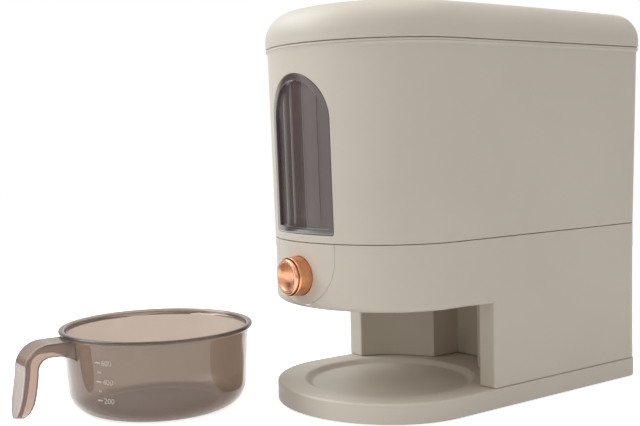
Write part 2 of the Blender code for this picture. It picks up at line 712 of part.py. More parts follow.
def make_button(copper, steel, black):
    """Barrel, dished cap, stem with its clip, and the return spring."""
    r = BARREL_EDGE_RADIUS
    front, rear = BARREL_FRONT_Y, BARREL_REAR_Y
    outer_edge = arc((BARREL_RADIUS - r, front + r), r, -90, 0, EDGE_STEPS)
    stem_hole = STEM_RADIUS + CLEARANCE
    wall = BARREL_RADIUS - BARREL_BORE
    profile = [p for p in outer_edge if p[0] > BARREL_BORE + wall / 4]
    profile += [(BARREL_RADIUS, rear), (stem_hole, rear), (stem_hole, rear - BARREL_END_WALL),
                (BARREL_BORE, rear - BARREL_END_WALL), (BARREL_BORE, profile[0][1])]
    turned_along_y("button_barrel", profile, copper, closed=True)

    face = [(CAP_RADIUS * a, CAP_FRONT_Y + CAP_DISH_DEPTH * b) for a, b in CAP_DISH_SHARES]
    rim = CAP_RIM_WIDTH / 2
    face += arc((CAP_RADIUS - rim, CAP_FRONT_Y + rim), rim, -110, 0, EDGE_STEPS)
    socket = STEM_RADIUS + CLEARANCE
    seat = CAP_BACK_Y - STEM_SOCKET_DEPTH
    cap = face + [(CAP_RADIUS, CAP_BACK_Y), (socket, CAP_BACK_Y), (socket, seat), (0, seat)]
    turned_along_y("button_cap", cap, copper)

    shoulder_front = LUG_FRONT_Y - CLEARANCE - STEM_SHOULDER_LENGTH
    clip_front = LUG_REAR_Y + CLEARANCE
    clip_rear = clip_front + CLIP_THICKNESS
    groove_rear = clip_rear + CLEARANCE
    turned_along_y("button_stem", [
        (0, seat + CLEARANCE), (STEM_RADIUS, seat + CLEARANCE), (STEM_RADIUS, shoulder_front),
        (STEM_SHOULDER_RADIUS, shoulder_front), (STEM_SHOULDER_RADIUS, LUG_FRONT_Y - CLEARANCE),
        (STEM_RADIUS, LUG_FRONT_Y - CLEARANCE), (STEM_RADIUS, LUG_REAR_Y), (STEM_GROOVE_RADIUS, LUG_REAR_Y),
        (STEM_GROOVE_RADIUS, groove_rear), (STEM_RADIUS, groove_rear), (STEM_RADIUS, STEM_END_Y),
        (0, STEM_END_Y)], steel, SMALL_ROUND_STEPS)
    bore = STEM_GROOVE_RADIUS + CLEARANCE
    turned_along_y("stem_clip", [(bore, clip_front), (CLIP_RADIUS, clip_front), (CLIP_RADIUS, clip_rear),
                                 (bore, clip_rear)], black, SMALL_ROUND_STEPS, closed=True)
    make_spring(steel)


def make_spring(steel):
    """Coil spring between the cap's back and the barrel's end wall, one unbroken tube."""
    start = CAP_BACK_Y + CLEARANCE + SPRING_WIRE_RADIUS
    end = BARREL_REAR_Y - BARREL_END_WALL - CLEARANCE - SPRING_WIRE_RADIUS
    count = SPRING_TURNS * SPRING_STEPS
    rings = []
    for i in range(count + 1):
        angle = ROUND_FULL * i / SPRING_STEPS
        y = start + (end - start) * i / count
        ring = []
        for k in range(WIRE_STEPS):
            around = ROUND_FULL * k / WIRE_STEPS
            radius = SPRING_MEAN_RADIUS + SPRING_WIRE_RADIUS * math.cos(around)
            ring.append((radius * math.cos(angle), y + SPRING_WIRE_RADIUS * math.sin(around),
                         BUTTON_Z + radius * math.sin(angle)))
        rings.append(ring)
    loft("return_spring", rings, steel)


def slot_boxes(name, shift, low, high):
    """The two gate slots as one cutter, moved forwards by the shift."""
    mesh = bmesh.new()
    for side in (-1, 1):
        middle = BAY_CENTRE_Y + side * SLOT_PITCH / 2 - shift
        corners = [(-SLOT_LENGTH / 2, middle - SLOT_WIDTH / 2), (SLOT_LENGTH / 2, middle - SLOT_WIDTH / 2),
                   (SLOT_LENGTH / 2, middle + SLOT_WIDTH / 2), (-SLOT_LENGTH / 2, middle + SLOT_WIDTH / 2)]
        add_loft(mesh, [[(x, y, z) for x, y in corners] for z in (low, high)])
    return make_object(name, mesh)


def make_gate(white, rubber, steel):
    """Fixed tray and cover with the slide between them, the seal above and the chute below."""
    gw, front, rear = GATE_HALF_WIDTH, GATE_FRONT_Y, GATE_REAR_Y
    tray = box("gate_tray", (-gw, front, TRAY_BOTTOM), (gw, rear, TRAY_TOP), white)
    side = SLIDE_HALF_WIDTH + CLEARANCE
    channel = box("slide_channel_cutter", (-side, front - OVERRUN, TRAY_FLOOR_TOP),
                  (side, rear - GATE_REAR_WALL, TRAY_TOP + OVERRUN))
    throat = box("tray_throat_cutter", (-MOUTH_HALF_X, BAY_CENTRE_Y - MOUTH_HALF_Y, TRAY_BOTTOM - OVERRUN),
                 (MOUTH_HALF_X, BAY_CENTRE_Y + MOUTH_HALF_Y, TRAY_FLOOR_TOP + OVERRUN))
    screw_holes = hole_cutter("gate_screw_holes", gate_screw_places(), CHUTE_FLANGE_BOTTOM - OVERRUN,
                              COVER_TOP + OVERRUN)
    cut(tray, channel, throat, screw_holes)

    cover = box("gate_cover", (-gw, front, COVER_BOTTOM), (gw, rear, COVER_TOP), white)
    cut(cover, slot_boxes("cover_slot_cutter", 0, COVER_BOTTOM - OVERRUN, COVER_TOP + OVERRUN), screw_holes)

    slide = box("gate_slide", (-SLIDE_HALF_WIDTH, LUG_FRONT_Y, SLIDE_BOTTOM),
                (SLIDE_HALF_WIDTH, SLIDE_REAR_Y, SLIDE_TOP), steel)
    lug = box("slide_lug", (-LUG_HALF_WIDTH, LUG_FRONT_Y, SLIDE_BOTTOM),
              (LUG_HALF_WIDTH, LUG_REAR_Y, BUTTON_Z + LUG_TOP))
    add(slide, lug)
    hole = STEM_RADIUS + CLEARANCE
    room_end = STEM_END_Y + CLEARANCE
    lug_hole = turned_along_y("lug_hole_cutter", [(0, LUG_FRONT_Y - OVERRUN), (hole, LUG_FRONT_Y - OVERRUN),
                                                  (hole, room_end), (0, room_end)], steps=SMALL_ROUND_STEPS)
    clip_room = turned_along_y("clip_room_cutter", [
        (0, LUG_REAR_Y + CLEARANCE / 2), (CLIP_RADIUS + CLEARANCE, LUG_REAR_Y + CLEARANCE / 2),
        (CLIP_RADIUS + CLEARANCE, room_end), (0, room_end)], steps=SMALL_ROUND_STEPS)
    cut(slide, slot_boxes("slide_slot_cutter", STROKE, SLIDE_BOTTOM - OVERRUN, SLIDE_TOP + OVERRUN),
        lug_hole, clip_room)

    make_screws("gate_screw", gate_screw_places(), COVER_TOP + CLEARANCE,
                COVER_TOP - CHUTE_FLANGE_BOTTOM + GATE_SCREW_REACH - CLEARANCE, steel, up=False)
    angles = [ROUND_FULL * i / ROUND_STEPS for i in range(ROUND_STEPS)]
    centre = (0, BAY_CENTRE_Y)
    outer = HOPPER_WALL
    rings = [box_ring(MOUTH_HALF_X + grow, MOUTH_HALF_Y + grow, z, angles, centre)
             for grow, z in ((0, SEAL_BOTTOM), (outer, SEAL_BOTTOM), (outer, SEAL_BOTTOM + SEAL_THICKNESS),
                             (0, SEAL_BOTTOM + SEAL_THICKNESS))]
    loft("gate_seal", rings, rubber, closed=True)
    make_chute(white, screw_holes, angles, centre)


def make_chute(white, screw_holes, angles, centre):
    """Funnel from the gate's throat to a round spout above the bowl, on a bolted flange."""
    spout_bottom = SKIRT_BOTTOM + CHUTE_ABOVE_SKIRT
    chute = box("outlet_chute", (-GATE_HALF_WIDTH, GATE_FRONT_Y, CHUTE_FLANGE_BOTTOM),
                (GATE_HALF_WIDTH, GATE_REAR_Y, CHUTE_TOP), white)

    def spout(name, grow, low, high):
        neck = CEILING_TOP + CLEARANCE
        top = box_ring(MOUTH_HALF_X + grow, MOUTH_HALF_Y + grow, high, angles, centre)
        mid = round_ring(CHUTE_RADIUS + grow, neck, ROUND_STEPS, centre)
        bottom = round_ring(CHUTE_RADIUS + grow, low, ROUND_STEPS, centre)
        return loft(name, [bottom, mid, top])

    add(chute, spout("spout_body", CHUTE_WALL, spout_bottom, CHUTE_TOP - CHUTE_FLANGE / 2))
    cut(chute, spout("spout_bore", 0, spout_bottom - OVERRUN, CHUTE_TOP + CLEARANCE), screw_holes)


def window_high(grow):
    radius = NOSE_HALF_WIDTH + grow
    return lambda x: WINDOW_SPRING + math.sqrt(max(radius ** 2 - x ** 2, 0))


def window_low(grow):
    """Sill line with small corner rounds."""
    radius = max(WINDOW_CORNER_RADIUS + grow, CLEARANCE)
    start = NOSE_HALF_WIDTH + grow - radius

    def sill(x):
        over = min(max(abs(x) - start, 0), radius)
        return WINDOW_BOTTOM - grow + radius - math.sqrt(radius ** 2 - over ** 2)
    return sill


def make_tank(plastic):
    """Tank wall with a lipped rim above, a bolting flange below and the arched opening."""
    top_shift = TANK_DRAFT
    rim_low = TANK_TOP - TANK_RIM_HEIGHT
    fillet = rim_low - TANK_RIM_FILLET
    inner = -TANK_WALL
    rings = [
        d_ring(0, TANK_BOTTOM), d_ring(wall_shift(fillet), fillet),
        d_ring(wall_shift(fillet) + TANK_RIM_LIP / 3, rim_low - TANK_RIM_FILLET / 3),
        d_ring(top_shift + TANK_RIM_LIP, rim_low), d_ring(top_shift + TANK_RIM_LIP, TANK_TOP),
        d_ring(inner + top_shift, TANK_TOP), d_ring(inner + wall_shift(TANK_FLANGE_TOP), TANK_FLANGE_TOP),
        d_ring(flange_inner, TANK_FLANGE_TOP), d_ring(flange_inner, TANK_BOTTOM)]
    tank = loft("tank_shell", rings, plastic, closed=True)
    opening = wall_patch("window_opening_cutter", NOSE_HALF_WIDTH, window_low(0), window_high(0),
                         -TANK_WALL - OVERRUN, OVERRUN)
    boss_top = FLANGE_UNDER + TANK_SCREW_REACH + BOSS_CAP
    boss_foot = TANK_BOTTOM + TANK_FLANGE / 2
    bosses = turned("tank_bosses", [(0, boss_foot), (BOSS_RADIUS, boss_foot), (BOSS_RADIUS, boss_top),
                                    (0, boss_top)], steps=SMALL_ROUND_STEPS, centres=tank_screw_places())
    pilots = hole_cutter("tank_pilot_cutter", tank_screw_places(), TANK_BOTTOM - OVERRUN, boss_top - BOSS_CAP)
    add(tank, bosses)
    cut(tank, opening, pilots)


def make_window(smoke, rubber):
    """Smoky arched window: a frame flush with the wall, a fluted pane set back inside it,
    and an inner flange that holds a thin seal against the tank wall."""
    seal_outer = -TANK_WALL - CLEARANCE
    seal_inner = seal_outer - WINDOW_SEAL_THICKNESS
    flange_outer = seal_inner - CLEARANCE
    flange_inner_face = flange_outer - WINDOW_FLANGE_THICKNESS
    lap = WINDOW_FLANGE_LAP
    gap = CLEARANCE
    pane = wall_patch("window", NOSE_HALF_WIDTH - gap, window_low(-gap), window_high(-gap),
                      flange_inner_face, -WINDOW_RECESS, smoke)
    flange = wall_patch("window_flange", NOSE_HALF_WIDTH + lap, window_low(lap), window_high(lap),
                        flange_inner_face, flange_outer)
    add(pane, flange)
    inset = -gap - WINDOW_FRAME
    half = NOSE_HALF_WIDTH + inset

    def flute(x):
        wave = abs(math.sin(math.pi * FLUTE_COUNT * (x + half) / (2 * half)))
        return -WINDOW_RECESS - WINDOW_POCKET - FLUTE_DEPTH * wave
    pocket = wall_patch("window_pocket_cutter", half, window_low(inset), window_high(inset),
                        flute, OVERRUN, steps=FLUTE_STEPS * FLUTE_COUNT)
    cut(pane, pocket)
    seal = wall_patch("window_seal", NOSE_HALF_WIDTH + lap, window_low(lap), window_high(lap),
                      seal_inner, seal_outer, rubber)
    room = wall_patch("window_seal_cutter", NOSE_HALF_WIDTH, window_low(0), window_high(0),
                      seal_inner - OVERRUN, seal_outer + OVERRUN)
    cut(seal, room)


def hopper_rim(y):
    """Height of the hopper's tilted rim, which rises towards the rear."""
    share = max((y - HOPPER_RISES_FROM_Y) / (REAR_REACH - HOPPER_RISES_FROM_Y), 0)
    return SEAM + HOPPER_FRONT_RIM_RISE + (HOPPER_REAR_RIM_RISE - HOPPER_FRONT_RIM_RISE) * share


def make_hopper(white):
    """Sloped floor of the tank: a funnel with a skirt that stands on the tank's flange."""
    stations = d_stations(side_steps=HOPPER_STEPS, rear_steps=HOPPER_STEPS)
    centre = (0, BAY_CENTRE_Y)
    angles = [math.atan2(y - BAY_CENTRE_Y, x) for x, y, _, _ in stations]
    foot = TANK_FLANGE_TOP + CLEARANCE

    def outer(y):
        return -TANK_WALL - CLEARANCE + wall_shift(hopper_rim(y))

    def inner(y):
        return outer(y) - HOPPER_WALL

    def under(y):
        return hopper_rim(y) - HOPPER_RIM_THICKNESS
    mx, my, wall = MOUTH_HALF_X, MOUTH_HALF_Y, HOPPER_WALL
    skirt = -TANK_WALL - CLEARANCE + wall_shift(foot)
    rings = [
        d_ring(outer, hopper_rim, stations), d_ring(inner, hopper_rim, stations),
        box_ring(mx, my, MOUTH_Z, angles, centre), box_ring(mx, my, NECK_BOTTOM, angles, centre),
        box_ring(mx + wall, my + wall, NECK_BOTTOM, angles, centre),
        box_ring(mx + wall, my + wall, MOUTH_Z - wall / 2, angles, centre),
        d_ring(inner, under, stations), d_ring(skirt - wall, foot, stations), d_ring(skirt, foot, stations)]
    loft("hopper", rings, white, closed=True)


def lid_rings(offset, bottom, height, radius, crown, fillet_steps):
    """Rings up a rounded D-shaped dome, from its lower edge to a small ring at its crown."""
    top = bottom + height
    rings = [d_ring(offset, bottom)]
    rings += [d_ring(o, z) for o, z in arc((offset - radius, top - radius), radius, 0, 90, fillet_steps)]
    last = rings[-1]
    middle_y = (REAR_REACH - FRONT_REACH) / 2
    for share in LID_CROWN_SHARES:
        rise = crown * (1 - share ** 2)
        rings.append([(x * share, middle_y + (y - middle_y) * share, z + rise) for x, y, z in last])
    return rings


def make_lid(plastic, white, rubber):
    """Domed lid, the liner that locates it in the tank, and the liner's seal."""
    offset = TANK_DRAFT + LID_OVERHANG
    height = LID_HEIGHT - PARTING / 2
    outside = lid_rings(offset, LID_BOTTOM, height, LID_EDGE_RADIUS, LID_CROWN, LID_STEPS)
    inside = lid_rings(offset - LID_WALL, LID_BOTTOM, height - LID_WALL, LID_EDGE_RADIUS - LID_WALL,
                       LID_CROWN, LID_INSIDE_STEPS)
    shell = loft("lid_shell", outside, plastic)
    inside[0] = [(x, y, LID_BOTTOM - OVERRUN) for x, y, z in inside[0]]
    cut(shell, loft("lid_hollow_cutter", inside))

    tank_inner = TANK_DRAFT - TANK_WALL
    outer = tank_inner - LINER_GAP
    low = LID_BOTTOM - LINER_DEPTH
    plate = LID_BOTTOM + LINER_PLATE_RISE
    edge = offset - LID_WALL - CLEARANCE
    groove_top = LID_BOTTOM - LID_SEAL_BELOW_RIM
    groove_low = groove_top - LID_SEAL_HEIGHT
    groove = outer - LID_SEAL_DEPTH
    liner = loft("lid_liner", [
        d_ring(outer, low), d_ring(outer, groove_low), d_ring(groove, groove_low), d_ring(groove, groove_top),
        d_ring(outer, groove_top), d_ring(outer, plate), d_ring(edge, plate),
        d_ring(edge, plate + LINER_PLATE)], white)
    cut(liner, loft("liner_hollow_cutter", [d_ring(groove - LINER_WALL, z)
                                            for z in (low - OVERRUN, plate)]))
    seal_out = tank_inner + wall_shift(groove_low) - TANK_DRAFT - CLEARANCE
    seal = [(groove + CLEARANCE, groove_low + CLEARANCE), (seal_out, groove_low + CLEARANCE),
            (seal_out, groove_top - CLEARANCE), (groove + CLEARANCE, groove_top - CLEARANCE)]
    loft("lid_seal", [d_ring(o, z) for o, z in seal], rubber, closed=True)


def bowl_profile():
    """Half section of the bowl, from the outside of its foot over the lip to the inner floor."""
    r, wall = BOWL_CORNER_RADIUS, BOWL_WALL
    body = BOWL_RIM_RADIUS - BOWL_LIP
    low = body - BOWL_TAPER
    foot = low - r
    neck = BOWL_HEIGHT - BOWL_LIP_HEIGHT
    lip = BOWL_LIP
    outside = [(0, 0)] + arc((foot, r), r, -90, 0, BOWL_CORNER_STEPS) + [(body, neck)]
    rim = [(body + lip * out, BOWL_HEIGHT + lip * up) for out, up in BOWL_LIP_SHARES]
    rim.append((body - wall, BOWL_HEIGHT - lip))
    inside = [(body - wall, neck)] + arc((foot, r), r - wall, 0, -90, BOWL_CORNER_STEPS) + [(0, wall)]
    return outside + rim + inside


def handle_path():
    """Middle line of the strap's outer face: out from the wall, round a bend and down."""
    start = BOWL_RIM_RADIUS - BOWL_LIP - BOWL_WALL / 2
    top = BOWL_HEIGHT - HANDLE_BELOW_RIM
    r = HANDLE_BEND_RADIUS
    outer = BOWL_RIM_RADIUS - BOWL_LIP + HANDLE_REACH
    points = [(start, top), (outer - r, top)]
    points += [(outer - r + r * math.sin(a), top - r + r * math.cos(a))
               for a in (math.pi / 2 * i / BEND_STEPS for i in range(1, BEND_STEPS + 1))]
    fall = top - r - HANDLE_TIP_HEIGHT
    points += [(outer + HANDLE_SPLAY * s, top - r - fall * s) for s in HANDLE_FALL_SHARES]
    return points


def make_bowl(smoke):
    """Measuring bowl with its lip and hooked channel handle, one moulding."""
    bowl = turned("measuring_bowl", bowl_profile(), smoke, BOWL_STEPS)
    path = handle_path()
    rings = []
    for i, (reach, z) in enumerate(path):
        ahead = path[min(i + 1, len(path) - 1)]
        behind = path[max(i - 1, 0)]
        run, fall = ahead[0] - behind[0], ahead[1] - behind[1]
        length = math.hypot(run, fall)
        inward = (fall / length, -run / length)
        half = HANDLE_WIDTH / 2
        tip = i - len(path) + len(HANDLE_TIP_SHARES)
        if tip >= 0:
            half *= HANDLE_TIP_SHARES[tip]
        web = half - HANDLE_WALL
        section = [(-half, 0), (half, 0), (half, HANDLE_DEPTH), (web, HANDLE_DEPTH), (web, HANDLE_WALL),
                   (-web, HANDLE_WALL), (-web, HANDLE_DEPTH), (-half, HANDLE_DEPTH)]
        rings.append([(reach + inward[0] * d, side, z + inward[1] * d) for side, d in section])
    handle = loft("bowl_handle", rings)
    add(bowl, handle)
    scrape = BOWL_RIM_RADIUS - BOWL_LIP - BOWL_WALL
    hollow = turned("bowl_clear_cutter", [
        (0, BOWL_HEIGHT / 2), (scrape - BOWL_TAPER, BOWL_HEIGHT / 2),
        (scrape, BOWL_HEIGHT - BOWL_LIP_HEIGHT), (0, BOWL_HEIGHT + OVERRUN)], steps=BOWL_STEPS)
    cut(bowl, hollow)
    for piece in (bowl, handle, hollow):
        piece.location = (BOWL_X, BOWL_Y, 0)
        piece.rotation_euler = (0, 0, HANDLE_AZIMUTH)


def main():
    for old in list(bpy.data.objects):
        bpy.data.objects.remove(old, do_unlink=True)
    greige = make_material("greige_plastic", (0.60, 0.55, 0.49), 0.5)
    smoke = make_material("smoky_plastic", (0.16, 0.12, 0.11), 0.12, transmission=0.6)
    copper = make_material("copper_metal", (0.82, 0.45, 0.30), 0.18, metallic=1.0)
    steel = make_material("steel", (0.55, 0.55, 0.56), 0.3, metallic=1.0)
    white = make_material("white_plastic", (0.80, 0.79, 0.76), 0.45)
    rubber = make_material("grey_rubber", (0.18, 0.17, 0.16), 0.8)
    make_base(greige, rubber, steel)
    make_lower_housing(greige)
    make_front_panel(greige)
    make_button(copper, steel, rubber)
    make_gate(white, rubber, steel)
    make_tank(greige)
    make_screws("tank_screw", tank_screw_places(), FLANGE_UNDER - CLEARANCE,
                TANK_SCREW_REACH - CLEARANCE, steel)
    make_window(smoke, rubber)
    make_hopper(white)
    make_lid(greige, white, rubber)
    make_bowl(smoke)
    carry("button_axis", (0, CAP_FRONT_Y, BUTTON_Z), ("button_cap", "button_stem", "stem_clip", "gate_slide"))
    carry("lid_axis", (0, 0, LID_BOTTOM), ("lid_shell", "lid_liner", "lid_seal"))
    carry("bowl_axis", (BOWL_X, BOWL_Y, 0), ("measuring_bowl",))


main()
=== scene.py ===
"""Looks of a countertop cereal dispenser and its measuring bowl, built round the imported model.

Metres, +Z up. The round front faces -Y, +X is the right-hand side seen from the front, and the
origin lies on the counter under the centre of the half-round front. Every wall of the body is
the D-shaped plan outline pushed out or in, so most pieces are sheets over (place, height).
"""

import math

import bmesh
import bpy
import numpy as np
from mathutils import Matrix


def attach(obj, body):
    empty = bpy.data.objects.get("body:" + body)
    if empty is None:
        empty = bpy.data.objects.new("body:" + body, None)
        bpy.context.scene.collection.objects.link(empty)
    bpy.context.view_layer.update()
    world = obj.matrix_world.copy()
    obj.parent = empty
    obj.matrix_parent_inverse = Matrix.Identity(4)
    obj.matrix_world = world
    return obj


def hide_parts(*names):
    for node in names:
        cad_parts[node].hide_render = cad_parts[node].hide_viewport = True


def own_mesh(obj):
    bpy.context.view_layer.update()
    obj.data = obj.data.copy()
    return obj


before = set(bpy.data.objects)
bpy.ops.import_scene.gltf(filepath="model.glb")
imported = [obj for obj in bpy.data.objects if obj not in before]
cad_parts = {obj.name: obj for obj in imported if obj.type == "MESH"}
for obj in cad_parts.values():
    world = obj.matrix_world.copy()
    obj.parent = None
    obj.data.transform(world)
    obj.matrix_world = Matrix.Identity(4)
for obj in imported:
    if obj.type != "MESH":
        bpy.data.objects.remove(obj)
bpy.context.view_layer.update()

# Plan outline
HALF_WIDTH = 0.085
FRONT_REACH = 0.075
REAR_REACH = 0.2075
REAR_CORNER = 0.014

# Levels, then the gaps between pieces
FOOT_GAP = 0.0012
BASE_TOP = 0.0159
SKIRT_BOTTOM = 0.0792
SEAM = 0.1268
LID_SEAM = 0.2681
PARTING = 0.0005
HAIR = 0.00002
CLEARANCE = 0.0003

# Base
BASE_OVERHANG = 0.0018
BASE_OVERHANG_SIDE = 0.0006
BASE_EDGE = 0.0018
BASE_EDGE_LAND = 0.0005
BASE_UNDER_EDGE = 0.0005
BASE_UNDER_LAND = 0.0009
BASE_WALL = 0.0026
BASE_SKIN = 0.0030
BASE_RIM_SHARES = (0.06, 0.3, 0.6, 0.9)
DISH_Y = 0.0087
DISH_RADIUS = 0.0665
DISH_FLOOR = 0.0590
DISH_FLOOR_SHARES = (0.0, 0.15, 0.35, 0.55, 0.75, 0.9)
DISH_DEPTH = 0.0038
DISH_SAG = 0.0004

# Lower housing
WALL = 0.0030
SKIRT_EDGE = 0.0045
SKIRT_EDGE_START = math.radians(20.9)
SKIRT_FOOT = 0.0795
SKIRT_FADE = 0.030
CEILING_UNDER = 0.0832
CEILING_TOP = 0.0857
CEILING_SHARES = (0, 0.03, 0.2, 0.5, 0.8, 1)
LEG_FRONT = 0.0371
LEG_EDGE = 0.0018
LEG_MARGIN = 0.002
LEG_NEAR = 0.0015
LEG_FOOT = ((-0.0006, 0.0), (-0.00025, 0.00012), (0.0, 0.0005), (0.0, 0.001))
OUTER_BAND = 0.0002
BAY_RADIUS = 0.075
BAY_EDGE = 0.0013
CHANNEL_HALF = 0.0252
CHANNEL_REAR = 0.1075
CHANNEL_EDGE = 0.0008
CHANNEL_CORNER = 0.0012
OUTLET_HOLE = 0.0221

# Window and button panel
NOSE_HALF = 0.0339
PANEL_CENTRE_Z = 0.1150
PANEL_THICKNESS = 0.0016
PANEL_BEVEL = 0.00025
PANEL_SHARES = (0, 0.08, 0.25, 0.45, 0.7, 0.92, 1)
WINDOW_BOTTOM = 0.1326
WINDOW_HEAD = 0.0203
WINDOW_SPRING = LID_SEAM - WINDOW_HEAD - NOSE_HALF
WINDOW_CORNER = 0.0022
WINDOW_CORNER_LEAST = 0.0004
WINDOW_FRAME = 0.0045
WINDOW_GAP = 0.0004
WINDOW_BACK = 0.0053
FLUTE_PITCH = 0.0146
FLUTE_DEPTH = 0.00035
FLUTE_RIDGE = 0.0009
FLUTE_SIDE_FADE = 0.0012
FLUTE_END_FADE = 0.006
PANE_RECESS = 0.0025

# Window frame's section: share of the way across it, and depth below the wall's outer face
FRAME_SECTION = ((0.0, 0.0024), (0.0, 0.0003), (0.05, 0.0002), (0.5, 0.0002), (0.93, 0.0002), (1.0, 0.0004),
                 (1.0, 0.0024))

# Tank and lid
TANK_WALL = 0.0025
TANK_DRAFT = 0.0029
TANK_BEVEL = 0.0004
TANK_EDGE_ROW = 0.0004
RIM_LIP = 0.0012
RIM_HEIGHT = 0.0020
RIM_FILLET = 0.0022
RIM_FLARE_POWER = 2.4
RIM_ROW = 0.0002
LID_OVERHANG = 0.0015
LID_HEIGHT = 0.0268
LID_EDGE = 0.0210
LID_WALL = 0.0025
LID_LIP = 0.0010
LID_CROWN = 0.0034
LID_CROWN_SHARE = 0.99

# Finer collars round the window's opening and the button panel's U
WINDOW_COLLAR_TURN = 0.62
WINDOW_COLLAR_BOTTOM = 0.0008
WINDOW_COLLAR_TOP = 0.2535
WINDOW_COLLAR_SHARES = (0, 0.12, 0.26, 0.42, 0.6, 0.8, 1)
PANEL_COLLAR_TURN = 0.66
PANEL_COLLAR_SHARES = (0, 0.08, 0.2, 0.4, 0.65, 0.85, 1)

# Button
BUTTON_Z = 0.1023
BARREL_RADIUS = 0.0142
BARREL_BORE = 0.0135
BARREL_FRONT = -0.0853
BARREL_REAR = -0.0480
BARREL_EDGE = 0.0021
BARREL_END_WALL = 0.0025
BARREL_EDGE_STEP = 0.0002
BARREL_EDGE_LAND = 0.0006
STEM_HOLE = 0.0033
STEM_SOCKET = 0.0030
CAP_RADIUS = 0.0129
CAP_FRONT = -0.0870
CAP_BACK = -0.0790
CAP_DISH = 0.0020
CAP_DISH_SHARE = 0.95
CAP_DISH_POWER = 2.6
CAP_ROUND = 0.0017
CAP_ROUND_START = -98
CAP_ROUND_LAND = 0.0024

# Return spring
SPRING_RADIUS = 0.0075
SPRING_WIRE = 0.0006
SPRING_TURNS = 7
SPRING_END = -0.0514

# Bowl
BOWL_X = -0.099
BOWL_Y = -0.140
BOWL_RIM = 0.0735
BOWL_HEIGHT = 0.0625
BOWL_NECK = 0.0048
NECK_HEIGHT = BOWL_HEIGHT - BOWL_NECK
BOWL_WALL = 0.0022
BOWL_LIP = 0.0032
BOWL_BODY = BOWL_RIM - BOWL_LIP
BOWL_TAPER = 0.0027
BOWL_CORNER = 0.018
FOOT_RING_SHARES = (0.9, 0.95)
FOOT_RING_HEIGHT = 0.0006
SPRUE_RADIUS = 0.0022
SPRUE_TOP_RADIUS = 0.0016
SPRUE_HEIGHT = 0.0003

# Bowl's rolled lip: how far out from the wall's outer face, and how far below the rim
LIP_LINE = ((0.0, BOWL_NECK), (0.0008, 0.0042), (0.0030, 0.0028), (0.0030, 0.0010), (0.0022, 0.0),
            (-0.0006, 0.0), (-BOWL_WALL, 0.0016), (-BOWL_WALL, 0.0050))

# Bowl's handle
HANDLE_TURN = math.radians(266)
HANDLE_REACH = 0.0355
HANDLE_WIDTH = 0.0260
HANDLE_DEPTH = 0.0100
HANDLE_TIP_DEPTH_SHARE = 0.35
HANDLE_WALL = 0.0022
HANDLE_FLANGE = 0.0048
HANDLE_EDGE = 0.0016
HANDLE_EDGE_INSET = 0.0003
HANDLE_FLANGE_EDGE = 0.0014
HANDLE_INNER_EDGE = 0.002
HANDLE_BEND = 0.0190
HANDLE_BELOW_RIM = 0.0030
HANDLE_TIP = 0.0070
HANDLE_POINT = 0.019
HANDLE_BLUNT = 0.05
HANDLE_SPLAY = 0.0060
HANDLE_SPLAY_POWER = 1.3
HANDLE_ROOT = 0.012
HANDLE_ROOT_SINK = 0.0001
HANDLE_FLARE = 0.55

# Level marks on the bowl
MARKS_TURN = math.radians(-62)
MARK_NUMBERS = ((0.0463, "600"), (0.0325, "400"), (0.0188, "200"))
MARK_BARS = ((0.0463, 0.0040), (0.0394, 0.0022), (0.0325, 0.0040), (0.0256, 0.0022), (0.0188, 0.0040))
MARK_SIZE = 0.0058
MARK_LINE = 0.0010
MARK_RISE = 0.0004
MARK_SINK = 0.0001
MARK_SPACE = 0.0012

# Edges over which the bowl's painted shade on the lip and on the floor fades, as distances below the rim and
# above the floor
LIP_PAINTED_SHADE = (0.0027, 0.0020)
FLOOR_PAINTED_SHADE = (0.0016, 0.0006)

# How finely each shape is drawn
SIDE_POINTS = 13
CORNER_POINTS = 13
REAR_POINTS = 9
CORNER_STEP = 0.0006
FRONT_POINTS = 97
BESIDE_POINTS = 26
CEILING_POINTS = 61
WINDOW_COLLAR_STEPS = 44
WINDOW_COLLAR_ROWS = 61
ABOVE_COLLAR_ROWS = 5
RIM_ROWS = 8
PANEL_COLLAR_STEPS = 48
SKIRT_EDGE_ROWS = 11
SKIRT_ROWS = 12
NEAR_LEG_POINTS = 14
BAY_STEPS = 28
PANEL_LINE_POINTS = 97
PANEL_TOP_POINTS = 40
DISH_ROWS = 19
BASE_EDGE_STEPS = 8
UNDER_EDGE_STEPS = 3
LID_EDGE_STEPS = 20
LID_LIP_STEPS = 5
LID_INSIDE_STEPS = 8
LID_RINGS = 20
FRAME_POINTS = 200
PANE_COLUMNS = 337
PANE_ROWS = 90
BUTTON_STEPS = 96
BARREL_EDGE_STEPS = 8
CAP_DISH_POINTS = 15
CAP_ROUND_STEPS = 14
SPRING_STEPS = 24
WIRE_STEPS = 12
BOWL_STEPS = 144
BOWL_OUTER_CORNER_STEPS = 16
BOWL_INNER_CORNER_STEPS = 14
BOWL_WALL_POINTS = 6
HANDLE_OUT_POINTS = 9
HANDLE_BEND_STEPS = 18
HANDLE_FALL_POINTS = 31
NUMBER_STEPS = 3
FILLET_STEPS = 5

# A line drawn finely before even points are picked from it
SILL_LINE_POINTS = 60
CORNER_LINE_STEPS = 40
UPRIGHT_LINE_POINTS = 120
HEAD_LINE_STEPS = 200
NOSE_SIDE_LINE_POINTS = 80
NOSE_TURN_LINE_STEPS = 300
CORNER_LINE_COST = 0.00011
CORNER_LINE_REACH = 1.01

# Distances at which points count as one
DECIMALS = 9
SAME = 1e-8
SAME_NODE = 1e-9
DOUBLED = 1e-7
WELD = 1e-6
SLIVER = 1e-7

